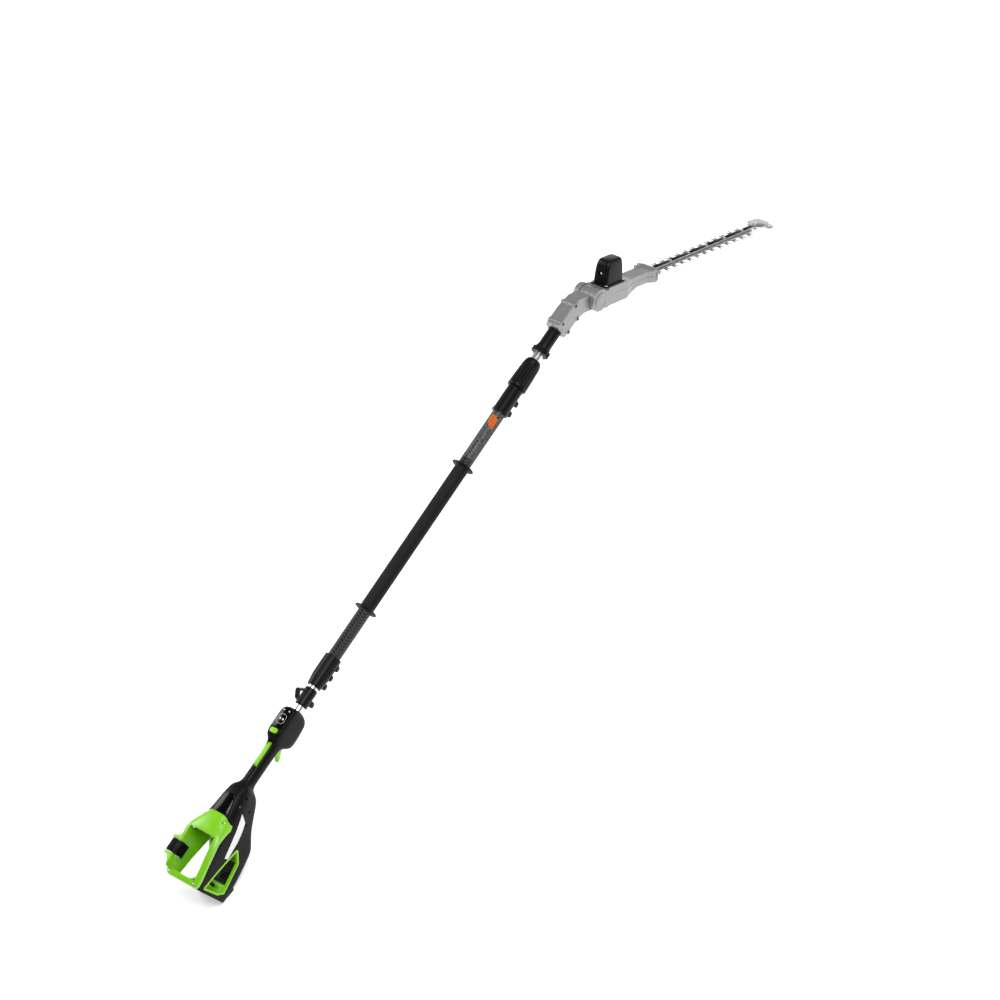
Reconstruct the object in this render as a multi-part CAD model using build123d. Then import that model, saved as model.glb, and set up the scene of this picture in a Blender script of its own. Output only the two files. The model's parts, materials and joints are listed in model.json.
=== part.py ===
"""Battery pole hedge trimmer, lying at rest on its rear foot and its blade tip.

Everything is drawn in the pole frame: +X along the pole towards the blade, +Y to the left, +Z on the
side of the display and the lock lever, and X = 0 on the pole axis near the lower end of the outer tube.
The head is drawn in its own frame (pivot at the origin, +X along the blade) and placed by HEAD.
rest_place lays the whole tool on the floor, with the origin below the middle of its box.
All sizes are in millimetres and degrees.
"""
import math
import os

from build123d import *

# ---- Pole and tubes -------------------------------------------------------------------------------
OUTER_R, OUTER_BORE = 18.0, 16.4
TUBE_R, TUBE_BORE = 14.0, 12.4
OUTER_START, OUTER_END = -150.0, 786.0
LOWER_TUBE_START, LOWER_TUBE_END = -330.0, -104.0
INNER_TUBE_START, INNER_TUBE_END = -40.0, 1000.0
SLEEVE_START, SLEEVE_END, SLEEVE_R = 905.0, 1010.0, 18.2
GRIP_START, GRIP_END, GRIP_R = 58.0, 530.0, 19.6
FLANGE_R, FLANGE_THICK = 32.5, 5.0

# ---- Head -----------------------------------------------------------------------------------------
PIVOT_X, PIVOT_Z = 1133.0, -45.0
BEND = 39.0
CHEEK_R, CHEEK_IN, CHEEK_OUT = 32.0, 21.5, 37.0
PIN_R, RUNNING_GAP, FREE_GAP = 6.0, 0.06, 0.35
MOTOR_U, CRANK_U = 74.0, 100.0
GEAR_MODULE, PINION_TEETH, GEAR_TEETH = 1.0, 10, 42
STROKE, CRANK_R = 8.0, 3.5
CAM_R = STROKE + CRANK_R + 0.3
BLADE_PITCH, BLADE_TEETH = 35.0, 13
BLADE_FROM, BLADE_T = 262.0, 2.4
BLADE_HALF, TOOTH_TIP = 12.5, 32.0
TAIL_TAPER = 5.0
RAIL_END = 770.0

# ---- Rear unit ------------------------------------------------------------------------------------
WALL = 3.0
BODY_HALF, CRADLE_HALF, BAY_HALF = 50.0, 46.0, 43.0
RING_HALF = 57.0
BULGE_HALF, GRIP_Y, GRIP_Z = 24.0, 16.5, 20.0
PANEL_Z = 38.0
SCREW_R = 2.2
FOOT_X, FOOT_Z, FOOT_LENGTH = -748.0, -144.5, 26.0

INDEX_STEP, STEPS_UP, STEPS_DOWN, INDEX_TRAVEL = 13.0, 6, 4, 8.0
TIP_REACH, TIP_DEPTH = 54.0, 8.0

PIVOT = Pos(PIVOT_X, 0, PIVOT_Z)
HEAD = PIVOT * Rot(0, BEND, 0)


def rest_angle():
    """The slope of the pole when the foot and the blade tip both touch the floor, in degrees."""
    bend = math.radians(BEND)
    u, w = RAIL_END + TIP_REACH, -TIP_DEPTH
    tip_x = PIVOT_X + u * math.cos(bend) + w * math.sin(bend)
    tip_z = PIVOT_Z - u * math.sin(bend) + w * math.cos(bend)
    return math.degrees(math.atan2(FOOT_Z - tip_z, tip_x - FOOT_X))


# ---- Small helpers --------------------------------------------------------------------------------
def slab(points, y_low, y_high):
    """A prism whose outline is drawn in X and Z, between two Y values."""
    face = make_face(Polyline(*points, close=True))
    return extrude(Plane.XZ.offset(-y_high) * face, y_high - y_low)


def plate(points, z_low, z_high):
    """A prism whose outline is drawn in X and Y, between two Z values."""
    face = make_face(Polyline(*points, close=True))
    return extrude(Plane.XY.offset(z_low) * face, z_high - z_low)


def rounded_slab(points, y_low, y_high, corner, edge=0.0):
    """A slab with rounded outline corners and, if asked, rounded side edges."""
    face = make_face(Polyline(*points, close=True))
    face = fillet(face.vertices(), corner)
    solid = extrude(Plane.XZ.offset(-y_high) * face, y_high - y_low)
    if edge:
        solid = fillet(solid.faces().sort_by(Axis.Y)[0].edges(), edge)
        solid = fillet(solid.faces().sort_by(Axis.Y)[-1].edges(), edge)
    return solid


def block(x, y, z):
    """A box between the given (low, high) pairs."""
    size = [high - low for low, high in (x, y, z)]
    middle = [(high + low) / 2 for low, high in (x, y, z)]
    return Pos(*middle) * Box(*size)


def rod_x(r, x_low, x_high, y=0.0, z=0.0):
    return Pos((x_low + x_high) / 2, y, z) * Rot(0, 90, 0) * Cylinder(r, x_high - x_low)


def rod_y(r, y_low, y_high, x=0.0, z=0.0):
    return Pos(x, (y_low + y_high) / 2, z) * Rot(90, 0, 0) * Cylinder(r, y_high - y_low)


def rod_z(r, z_low, z_high, x=0.0, y=0.0):
    return Pos(x, y, (z_low + z_high) / 2) * Cylinder(r, z_high - z_low)


def cone_x(r_low, r_high, x_low, x_high):
    return Pos((x_low + x_high) / 2, 0, 0) * Rot(0, 90, 0) * Cone(r_low, r_high, x_high - x_low)


def coil(r, wire, pitch, turns):
    """A spring wound about +Z from its origin, as stacked closed rings."""
    rings = [Pos(0, 0, wire + i * pitch) * Torus(r, wire) for i in range(turns)]
    spine = Pos(r, 0, (turns - 1) * pitch / 2 + wire) * Cylinder(wire * 0.8, (turns - 1) * pitch)
    return sum(rings, spine)


def screw(head_r, head_h, shank_r, shank_l):
    """A pan-head screw: the head above the origin along +Z, the shank below, with a socket."""
    head = rod_z(head_r, 0, head_h)
    socket = Pos(0, 0, head_h) * Box(head_r * 1.1, head_r * 0.4, head_h)
    return head + rod_z(shank_r, -shank_l, 0) - socket


def halves(solid):
    """The left (+Y) and right (-Y) halves of a solid."""
    box = solid.bounding_box()
    span_x, span_z = (box.min.X - 1, box.max.X + 1), (box.min.Z - 1, box.max.Z + 1)
    left = solid & block(span_x, (0, box.max.Y + 1), span_z)
    right = solid & block(span_x, (box.min.Y - 1, 0), span_z)
    return one(left), one(right)


def one(shape):
    """The largest solid of a shape, so that no crumb of a cut is kept."""
    return shape.solids().sort_by(SortBy.VOLUME)[-1]


# ---- Rear unit: outlines --------------------------------------------------------------------------
BODY_SIDE = [(-500, 20), (-538, 38), (-600, 40), (-655, 34), (-787, -2), (-784, -28), (-767, -130),
             (-755, -141), (-700, -138), (-622, -116), (-586, -64), (-532, -28), (-500, -20)]
BODY_PLAN = [(-500, 16.5), (-522, 27), (-560, 40), (-604, BODY_HALF), (-778, BODY_HALF), (-788, 42),
             (-788, -42), (-778, -BODY_HALF), (-604, -BODY_HALF), (-560, -40), (-522, -27), (-500, -16.5)]
BULGE_SIDE = [(-263, 8), (-270, 30), (-282, PANEL_Z), (-350, PANEL_Z), (-362, 24), (-362, -24),
              (-338, -50), (-286, -44), (-272, -38), (-263, -8)]
BAY_SIDE = [(-664, 70), (-652, -20), (-640, -56), (-664, -97), (-749, -118), (-766, -94), (-779, -26),
            (-776, 0), (-774, 40)]
WINDOW_SIDE = [(-648, -57), (-669, -90), (-746, -109), (-759, -90), (-771, -33), (-720, -40)]
RING_SIDE = [(-594, 40.2), (-606, 46), (-655, 52), (-790, 12), (-790, -1), (-655, 35), (-600, 41)]
RING_PLAN = [(-592, 36), (-606, 44), (-640, RING_HALF), (-772, RING_HALF), (-790, 44),
             (-790, -44), (-772, -RING_HALF), (-640, -RING_HALF), (-606, -44), (-592, -36)]
RING_HOLE = [(-664, BAY_HALF), (-774, BAY_HALF), (-774, -BAY_HALF), (-664, -BAY_HALF)]
LATCH_X = (-741.0, -705.0)


def grown(points, amount):
    """The outline moved outwards by an amount, as a face in X and Y."""
    return offset(make_face(Polyline(*points, close=True)), amount, kind=Kind.INTERSECTION)


def side_prism(points, amount, half):
    """A prism of a side outline grown by an amount, half wide to each side of the middle."""
    return extrude(Plane.XZ.offset(-half) * grown(points, amount), 2 * half)


def plan_prism(points, amount, z_low, z_high):
    return extrude(Plane.XY.offset(z_low) * grown(points, amount), z_high - z_low)


def housing_form(inset):
    """The outside of the rear housing, drawn in by an inset for its hollow."""
    body = side_prism(BODY_SIDE, -inset, 60) & plan_prism(BODY_PLAN, -inset, -170, 70)
    bulge = side_prism(BULGE_SIDE, -inset, BULGE_HALF - inset)
    grip = extrude(Plane.YZ.offset(-520) * Ellipse(GRIP_Y - inset, GRIP_Z - inset), 170)
    if not inset:
        bulge = chamfer(bulge.faces().sort_by(Axis.Y)[0].edges(), 5)
        bulge = chamfer(bulge.faces().sort_by(Axis.Y)[-1].edges(), 5)
        body = chamfer(body.edges().filter_by(Axis.Z).sort_by(Axis.X)[:2], 2)
    return body + bulge + grip


def housing():
    """The hollow housing with every opening that other pieces pass through."""
    shell = housing_form(0) - housing_form(WALL)
    cradle = side_prism(BAY_SIDE, WALL, CRADLE_HALF)
    shell -= cradle
    shell -= side_prism(WINDOW_SIDE, 5, 70)
    shell -= side_prism(RING_SIDE, 0.0, 70) & plan_prism(RING_PLAN, 0, -40, 80)
    shell -= rod_x(TUBE_R, -340, -250)
    shell -= block((-333, -270), (-18, 18), (PANEL_Z - 2.2, PANEL_Z + 1))
    shell -= Pos(-342, 0, PANEL_Z) * Box(15, 24, 10)
    shell -= block((-445, -366), (-6.5, 6.5), (5, 40))
    shell -= block((-402, -350), (-6.5, 6.5), (-70, -8))
    shell -= block((FOOT_X, FOOT_X + FOOT_LENGTH + 5), (-44, 44), (-160, FOOT_Z + 7))
    shell += tube_socket() + screw_posts()
    shell -= latch_bracket() + latch_room()
    shell -= rod_y(2.0, -13.2, 13.2, -374, 14) + rod_y(2.0, -13.2, 13.2, -358, -14)
    for x, y, z in FRAME_SCREWS:
        shell -= rod_z(SCREW_R, z - 12, z + 1, x, y)
    for x, z in HOUSING_SCREWS:
        seat = -side_at(x) + 2.6
        shell -= rod_y(3.8, -60, seat, x, z) + rod_y(SCREW_R, seat, seat + 11, x, z)
    return shell


def tube_socket():
    """The socket in the nose of the housing that grips the lower tube."""
    socket = rod_x(TUBE_R + 3.5, -330, -268) & block((-330, -268), (-20, 20), (-20, PANEL_Z - 8))
    return socket - rod_x(TUBE_R, -340, -250)


HOUSING_SCREWS = [(-528, 12), (-556, 22), (-548, -22), (-580, -34), (-600, -76), (-640, -112)]


def screw_posts():
    """The posts inside the housing that the side screws run into."""
    posts = [rod_y(5.5, -side_at(x) + 1.5, side_at(x) - 1.5, x, z) for x, z in HOUSING_SCREWS]
    return sum(posts[1:], posts[0])


def housing_screws():
    """The screws that draw the right half onto the left, with their heads sunk in the right side."""
    group = [Pos(x, -side_at(x) + 2.6, z) * Rot(90, 0, 0) * screw(3.6, 1.4, SCREW_R, 11)
             for x, z in HOUSING_SCREWS]
    return Compound(children=[one(s) for s in group])


def side_at(x):
    """Half the width of the body at a place along it."""
    plan = [(-500, 16.5), (-522, 27), (-560, 40), (-604, BODY_HALF), (-790, BODY_HALF)]
    for (x0, y0), (x1, y1) in zip(plan, plan[1:]):
        if x1 <= x <= x0:
            return y0 + (y1 - y0) * (x - x0) / (x1 - x0)
    return BODY_HALF


# ---- Rear unit: battery cradle --------------------------------------------------------------------
def battery_frame():
    """The cradle: a sloping ring on top, the bay walls below it, and the lips of the side windows."""
    ring = side_prism(RING_SIDE, 0, 70) & plan_prism(RING_PLAN, 0, -40, 80)
    walls = side_prism(BAY_SIDE, WALL, CRADLE_HALF) & block((-779, -630), (-50, 50), (-130, 20))
    lips = side_prism(WINDOW_SIDE, 5, BODY_HALF) - side_prism(WINDOW_SIDE, 5, CRADLE_HALF - 1)
    frame = ring + walls + lips + latch_bracket()
    frame -= side_prism(BAY_SIDE, 0, BAY_HALF)
    frame -= extrude(Plane.XY.offset(-60) * make_face(Polyline(*RING_HOLE, close=True)), 140)
    frame -= side_prism(WINDOW_SIDE, 0, 70)
    frame -= latch_room()
    return one(frame - frame_screw_holes())


def latch_bracket():
    """Two ears on the left side that hold the battery latch between them."""
    low, high = LATCH_X
    ears = block((low - 8, high + 8), (BAY_HALF, 72), (2, 27))
    horns = slab([(high + 1, 27), (high + 8, 27), (high + 8, 36), (high + 3, 36)], 60, 80)
    horns += slab([(low - 1, 27), (low - 8, 27), (low - 8, 34), (low - 3, 34)], 60, 80)
    sides = block((high + 1, high + 8), (70, 80), (8, 30)) + block((low - 8, low - 1), (70, 80), (8, 30))
    return ears + horns + sides


def latch_room():
    low, high = LATCH_X
    return block((low - 1, high + 1), (BAY_HALF - 12, 90), (6, 60))


def battery_latch():
    """The press block of the battery catch, with its hook that faces into the bay."""
    low, high = LATCH_X
    outline = [(34, 8), (42, 26), (56, 34), (76, 34), (78, 28), (60, 26), (60, 8)]
    face = make_face(Polyline(*outline, close=True))
    return extrude(Plane.YZ.offset(low) * face, high - low)


def latch_spring():
    return Pos(sum(LATCH_X) / 2, 60.2, 16) * Rot(-90, 0, 0) * coil(4, 0.6, 1.9, 5)


FRAME_SCREWS = [(-612, 33, 46.4), (-612, -33, 46.4), (-781, 45, 14.4), (-781, -45, 14.4)]


def frame_screw_holes():
    holes = [rod_z(SCREW_R, z - 12, z + 1, x, y) + rod_z(3.6, z, z + 6, x, y) for x, y, z in FRAME_SCREWS]
    return sum(holes[1:], holes[0])


def frame_screws():
    group = [one(Pos(x, y, z) * screw(3.4, 1.6, SCREW_R, 11)) for x, y, z in FRAME_SCREWS]
    return Compound(children=group)


def fin_block():
    """The finned cooling plate on the floor of the bay."""
    fins = slab([(-668, -94.5), (-729, -109.6), (-729, -112.6), (-667, -97.4)], -40, 40)
    for i in range(7):
        x = -674 - i * 8
        floor = -95.5 + (x + 668) * 0.247
        fins += block((x - 1.5, x + 1.5), (-38, 38), (floor - 2, floor + 9))
    return fins


POD_X, POD_Z, POD_R = -710.0, -80.0, 12.0


def controller_pod():
    """The round potted end of the motor controller, on a post from the floor of the bay."""
    post = slab([(-733, -113.6), (-747, -117.1), (-747, POD_Z), (-733, POD_Z)], -36, 4)
    arm = block((-747, POD_X), (-36, 4), (POD_Z - 4, POD_Z + 4))
    return rod_y(POD_R, -38, 6, POD_X, POD_Z) + arm + post


def terminal_block():
    """The battery terminals on the front wall of the bay: a carrier and four contact blades."""
    carrier = slab([(-652.3, -20), (-662, -20), (-654, -48), (-643.1, -48)], -28, 4)
    for y in (-23, -15, -7, 1):
        carrier += block((-670, -656), (y - 0.8, y + 0.8), (-44, -24))
    return carrier


def cap_window():
    """The gloss cover on the shoulder of the housing, in front of the cradle."""
    outline = [(-538, 37.6), (-594, 39.6), (-594, 42.6), (-542, 40.8)]
    plan = [(-540, 12), (-548, 21), (-594, 30), (-594, -30), (-548, -21), (-540, -12)]
    arch = plan_prism(plan, 0, 20, 60)
    return (side_prism(outline, 0, 40) & arch) - housing_form(0)


def nameplates():
    """A blank plate let onto each side of the body."""
    outline = [(-566, 4), (-577, -23), (-632, -38), (-678, -43), (-682, -30), (-600, -3)]
    skin = housing_form(-0.8) - housing_form(0)
    return Compound(children=[one(skin & slab(outline, -60, -30)), one(skin & slab(outline, 30, 60))])


def rear_foot():
    """The rubber pad under the body, its sole flat on the floor when the tool is laid down."""
    front = FOOT_X + FOOT_LENGTH
    drop = FOOT_LENGTH * math.tan(math.radians(rest_angle()))
    sole = [(FOOT_X, FOOT_Z), (front, FOOT_Z - drop), (front + 5, FOOT_Z + 7), (FOOT_X, FOOT_Z + 7)]
    return slab(sole, -44, 44)


# ---- Rear unit: controls --------------------------------------------------------------------------
def panel_glass():
    corners = [(-333, 14), (-333, -14), (-322, -17.5), (-282, -17.5), (-270.5, -10), (-270.5, 10),
               (-282, 17.5), (-322, 17.5)]
    return plate(corners, PANEL_Z - 2.1, PANEL_Z - 0.2) & housing_form(-0.5)


def panel_board():
    return block((-330, -282), (-15, 15), (PANEL_Z - 7.6, PANEL_Z - 5.8))


def power_button():
    cap = Pos(-342, 0, PANEL_Z - 0.4) * extrude(RectangleRounded(14, 23, 5), 2.4)
    return cap + block((-345, -339), (-3, 3), (PANEL_Z - 5, PANEL_Z - 0.4))


def lock_lever():
    """The safety lever along the top of the grip, hinged at its front end."""
    top = [(-368, 15), (-372, 20), (-380, 23), (-438, 22.4), (-444, 18), (-444, 12), (-436, 10), (-376, 8)]
    return rounded_slab(top, -6, 6, 1.5) - rod_y(2.0 + RUNNING_GAP, -7, 7, -374, 14)


def lever_pins():
    """The two pins that the lever and the trigger turn on."""
    wide = 13.2
    pins = [rod_y(2.0, -wide, wide, x, z) for x, z in ((-374, 14), (-358, -14))]
    return Compound(children=pins)


def lock_spring():
    return Pos(-428, 0, 0.6) * coil(3.4, 0.55, 1.85, 5)


def trigger():
    """The finger trigger under the grip, with a hooked tip, hinged at its front end."""
    side = [(-352, -10), (-352, -24), (-366, -34), (-380, -47), (-392, -52), (-396, -47), (-388, -38),
            (-384, -28), (-386, -10)]
    return rounded_slab(side, -6, 6, 1.5) - rod_y(2.0 + RUNNING_GAP, -7, 7, -358, -14)


def trigger_spring():
    return Pos(-379, 0, -9.9) * coil(2.6, 0.5, 1.6, 4)


def trigger_switch():
    return block((-384, -352), (-10, 10), (-3.6, 5.6)) + block((-372, -369), (-3, 3), (-7.5, -3.6))


# ---- Pole -----------------------------------------------------------------------------------------
def tube(r, bore, x_low, x_high):
    return rod_x(r, x_low, x_high) - rod_x(bore, x_low - 1, x_high + 1)


def lower_tube():
    return tube(TUBE_R, TUBE_BORE, LOWER_TUBE_START, LOWER_TUBE_END)


def clamp_ear(x, length, reach, half):
    """A pair of screw ears on the underside, with chamfered ends."""
    side = [(x - length / 2, -10), (x + length / 2, -10), (x + length / 2, -reach + 5),
            (x + length / 2 - 4, -reach), (x - length / 2 + 4, -reach), (x - length / 2, -reach + 5)]
    return slab(side, -half, half)


def strap_clamp():
    """The clamp with the ring for the shoulder strap."""
    body = rod_x(17.5, -247, -192)
    body = chamfer(body.edges().filter_by(GeomType.CIRCLE), 3)
    ring = slab([(-196, 10), (-217, 52), (-224, 53), (-240, 36), (-244, 10)], -5.5, 5.5)
    hole = slab([(-206, 19), (-220, 44), (-233, 33), (-235, 19)], -6, 6)
    ear = rod_y(8, -9, 9, -224, -30) + block((-232, -216), (-9, 9), (-30, -10))
    slit = block((-250, -190), (-1, 1), (-45, -10))
    return body + ring + ear - hole - slit - rod_x(TUBE_R, -260, -180) - rod_y(2.5, -12, 12, -224, -28)


def strap_clamp_screw():
    return one(Pos(-224, -9, -28) * Rot(90, 0, 0) * screw(4.6, 3.0, 2.5, 18))


COLLAR_SCREWS = (-165.0, -137.0, -107.0)


def lower_collar():
    """The fixed collar that joins the lower tube to the outer tube, with three screw ears."""
    body = cone_x(19.5, 23.6, -185, -153) + rod_x(23.6, -153, -92)
    for i in range(8):
        turn = Rot(22.5 + i * 45, 0, 0)
        body -= turn * block((-158, -90), (-2.6, 2.6), (22.4, 26))
    ears = [clamp_ear(x, 17, 42, 8) for x in COLLAR_SCREWS]
    body += ears[0] + ears[1] + ears[2]
    body -= block((-190, -90), (-1, 1), (-45, -10))
    body -= rod_x(TUBE_R, -190, -90)
    body -= rod_x(OUTER_R, OUTER_START, -80)
    for x in COLLAR_SCREWS:
        body -= rod_y(2.6, -12, 12, x, -33)
    return body


def collar_bush():
    """The bush between the lower tube and the bore of the outer tube."""
    return tube(OUTER_BORE, TUBE_R, OUTER_START, LOWER_TUBE_END)


def lower_collar_screws():
    group = [Pos(x, -8, -33) * Rot(90, 0, 0) * screw(4.6, 3.4, 2.6, 16) for x in COLLAR_SCREWS]
    return Compound(children=[one(s) for s in group])


def outer_tube():
    return tube(OUTER_R, OUTER_BORE, OUTER_START, OUTER_END)


def grip_sleeve():
    """The ribbed rubber sleeve with a flange at each end."""
    sleeve = rod_x(GRIP_R, GRIP_START, GRIP_END)
    ribs = 16
    for i in range(ribs):
        groove = block((GRIP_START + 12, GRIP_END - 12), (-1.2, 1.2), (GRIP_R - 0.8, GRIP_R + 2))
        sleeve -= Rot(i * 360 / ribs, 0, 0) * groove
    for x in (GRIP_START, GRIP_END - FLANGE_THICK):
        disc = rod_x(FLANGE_R, x, x + FLANGE_THICK)
        sleeve += fillet(disc.edges().filter_by(GeomType.CIRCLE), 2.2)
    return sleeve - rod_x(OUTER_R, GRIP_START - 5, GRIP_END + 5)


def tube_label():
    """A blank film on the outer tube, on the side that faces the user."""
    film = rod_x(OUTER_R + 0.25, 552, 702) - rod_x(OUTER_R, 550, 704)
    return film & block((550, 704), (-20, 8), (3, 20))


UPPER_COLLAR_SCREWS = (727.0, 760.0)


def upper_collar():
    """The lower half of the telescope lock, clamped to the outer tube by two screws."""
    body = rod_x(22.0, 707, 789) + rod_x(23.6, 707, 713)
    body += clamp_ear(727, 17, 42, 8) + clamp_ear(760, 17, 42, 8)
    body -= block((700, 786), (-1, 1), (-45, -10))
    body += rod_x(21.0, 789, 812)
    body -= rod_x(OUTER_R, 700, OUTER_END)
    body -= rod_x(TUBE_R + 4.2, OUTER_END - 1, 820)
    for x in UPPER_COLLAR_SCREWS:
        body -= rod_y(2.6, -12, 12, x, -33)
    return body


def upper_collar_screws():
    group = [Pos(x, -8, -33) * Rot(90, 0, 0) * screw(4.6, 3.4, 2.6, 16) for x in UPPER_COLLAR_SCREWS]
    return Compound(children=[one(s) for s in group])


def collet():
    """The slotted wedge that the knob squeezes onto the sliding tube."""
    wedge = rod_x(TUBE_R + 4.0, OUTER_END, 814) + cone_x(TUBE_R + 4.0, TUBE_R + 2.4, 814, 850)
    wedge -= rod_x(TUBE_R + RUNNING_GAP, 780, 860)
    for i in range(4):
        wedge -= Rot(45 + i * 90, 0, 0) * block((800, 860), (-1, 1), (10, 30))
    return wedge


def twist_knob():
    """The fluted twist lock of the telescope."""
    body = cone_x(27.5, 24.0, 790, 868) + cone_x(24.0, 20.5, 868, 880) + cone_x(20.5, 17, 880, 883)
    flutes = 12
    for i in range(flutes):
        groove = Pos(836, 0, 28.2) * Rot(0, 92.6, 0) * Cylinder(3.2, 76)
        body -= Rot(i * 360 / flutes, 0, 0) * groove
    body -= rod_x(21.0 + FREE_GAP, 780, 814)
    body -= rod_x(TUBE_R + 4.6, 813, 852)
    return body - rod_x(TUBE_R + FREE_GAP, 850, 890)


def inner_tube():
    return tube(TUBE_R, TUBE_BORE, INNER_TUBE_START, INNER_TUBE_END)


def guide_bush():
    """The sliding foot of the inner tube inside the outer tube."""
    start = INNER_TUBE_START - 8
    return rod_x(OUTER_BORE - RUNNING_GAP, start, start + 8) + rod_x(TUBE_BORE, start + 8, start + 40)


def coupling_sleeve():
    """The sleeve at the top of the inner tube, with a scalloped flange at its lower end."""
    flange = rod_x(25.5, SLEEVE_START, SLEEVE_START + 15)
    for i in range(6):
        flange -= Rot(30 + i * 60, 0, 0) * rod_x(7.5, SLEEVE_START - 1, SLEEVE_START + 16, 0, 30)
    body = flange + cone_x(21.5, SLEEVE_R, SLEEVE_START + 15, SLEEVE_START + 28)
    body += rod_x(SLEEVE_R, SLEEVE_START, SLEEVE_END)
    return body - rod_x(TUBE_R, SLEEVE_START - 5, INNER_TUBE_END) - rod_x(TUBE_BORE, 990, SLEEVE_END + 5)


# ---- Neck -----------------------------------------------------------------------------------------
NECK_SIDE = [(984, 24), (992, 26), (1046, 24), (1092, 14), (1122, -8), (1122, -70), (1110, -61),
             (1102, -56), (1078, -36), (1050, -26), (992, -25), (984, -23)]
NECK_SCREWS = [(1003, 19), (1066, 16), (1050, -23), (1004, -22)]


def neck_form():
    side = rounded_slab(NECK_SIDE, -22.5, 22.5, 4, 3.0)
    collar = rod_x(25.5, 984, 996)
    knuckle = rod_y(CHEEK_R - 3, -CHEEK_IN + 0.5, CHEEK_IN - 0.5, PIVOT_X, PIVOT_Z)
    bosses = rod_y(7.5, -24.4, 24.4, 1003, 19) + rod_y(7.5, -24.4, 24.4, 1066, 16)
    bosses += rod_y(6.5, -24.4, 24.4, 1050, -23) + rod_y(6.5, -24.4, 24.4, 1004, -22)
    swing = rod_y(CHEEK_R + 1.0, CHEEK_IN - 0.2, 60, PIVOT_X, PIVOT_Z)
    swing += rod_y(CHEEK_R + 1.0, -60, -CHEEK_IN + 0.2, PIVOT_X, PIVOT_Z)
    return side + collar + bosses - swing + knuckle


def neck():
    """The elbow casting: a socket for the sleeve, a cable way, and the knuckle with its index holes."""
    form = neck_form() - rod_x(SLEEVE_R, 970, SLEEVE_END)
    form -= rounded_slab([(SLEEVE_END, 13), (1048, 13), (1086, 2), (1098, -14), (1098, -34), (1070, -18),
                          (1048, -14), (SLEEVE_END, -13)], -15, 15, 2)
    form -= rod_y(PIN_R + RUNNING_GAP, -60, 60, PIVOT_X, PIVOT_Z)
    for step in range(-STEPS_UP, STEPS_DOWN + 1):
        form -= HEAD * Rot(0, step * INDEX_STEP, 0) * rod_x(3.0 + RUNNING_GAP, 22, 32)
    return form


def neck_screws():
    """The screws that draw the two halves of the elbow together, driven from the right."""
    group = [one(Pos(x, -24.4, z) * Rot(90, 0, 0) * screw(4.2, 1.8, SCREW_R, 14)) for x, z in NECK_SCREWS]
    return Compound(children=group)


def neck_halves():
    form = neck()
    for x, z in NECK_SCREWS:
        form -= rod_y(SCREW_R, -26, -10.4, x, z)
    return halves(form)


# ---- Head (drawn in the head frame) ---------------------------------------------------------------
CASE_PLAN = [(-14, 37), (34, 37), (46, 30), (128, 30), (160, 21), (225, 21), (244, 31), (254, 31),
             (254, -31), (244, -31), (225, -21), (160, -21), (128, -30), (46, -30), (34, -37), (-14, -37)]
CASE_SIDE = [(0, 20), (30, 22), (122, 22), (150, 17), (236, 17), (250, 20), (254, 20), (254, -18),
             (180, -17), (157, -26), (122, -31), (40, -31), (0, -24)]


def case_form():
    """The outside of the head casting: the cheeks, the gear case and the arm."""
    arm = side_prism(CASE_SIDE, 0, 60) & plan_prism(CASE_PLAN, 0, -60, 60)
    arm &= block((-40, 260), (-60, 60), (-60, 60))
    cheeks = rod_y(CHEEK_R, -CHEEK_OUT, CHEEK_OUT)
    return arm + cheeks


def case_room():
    """The hollow of the head casting: the knuckle slot, the gear chamber and the blade channel."""
    slot = rod_y(CHEEK_R - 2.2, -CHEEK_IN, CHEEK_IN) + block((-60, 16), (-CHEEK_IN, CHEEK_IN), (-60, 60))
    chamber = block((38, 146), (-25, 25), (-16, 15))
    channel = block((140, 256), (-BLADE_HALF - 1.5, BLADE_HALF + 1.5), (-4, 9.5))
    relief = block((150, 240), (-BLADE_HALF, BLADE_HALF), (-12, -3))
    return slot + chamber + channel + relief


def gearcase():
    """The casting split at the blade plane into an upper and a lower half."""
    body = case_form() - case_room()
    body -= rod_y(PIN_R, -60, 60)
    body -= rod_z(9.0, 10, 40, MOTOR_U)
    body -= rod_z(CRANK_R + RUNNING_GAP, -24, 20, CRANK_U)
    body -= block((32.5, 56), (-6.4, 6.4), (-40, 3.5)) + rod_x(3.0 + RUNNING_GAP, 16, 40)
    body += block((60.2, 63), (-5, 5), (-17, -5))
    upper = one(body & block((-40, 300), (-60, 60), (0, 80)))
    lower = one(body & block((-40, 300), (-60, 60), (-80, 0)))
    return upper, lower


def cheek_caps():
    """The raised round caps over the ends of the pivot pin."""
    caps = []
    for side in (-1, 1):
        cap = Pos(0, side * (CHEEK_OUT + 1.6), 0) * Rot(90, 0, 0) * Cylinder(22.5, 3.2)
        caps.append(fillet(cap.edges().filter_by(GeomType.CIRCLE), 1.2))
    return caps


def pivot_pin():
    return rod_y(PIN_R, -CHEEK_OUT, CHEEK_OUT)


def motor_plate():
    """The flange under the motor cover, with a hole for the motor's nose."""
    flat = Pos(MOTOR_U, 0, 22) * extrude(RectangleRounded(82, 56, 6), 5)
    return flat - rod_z(9.0, 20, 30, MOTOR_U)


COVER_SECTIONS = [(27, MOTOR_U, 74, 51, 9), (62, MOTOR_U + 1, 70, 49, 10), (97, MOTOR_U + 5, 52, 38, 10)]


def cover_form(inset):
    """The outside of the motor hood, drawn in by an inset for its hollow."""
    sections = []
    for w, u, length, width, corner in COVER_SECTIONS:
        level = min(w, COVER_SECTIONS[-1][0] - inset)
        shape = RectangleRounded(length - 2 * inset, width - 2 * inset, corner - inset)
        sections.append(Plane.XY.offset(level) * Pos(u, 0) * shape)
    return loft(sections, ruled=True)


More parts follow.
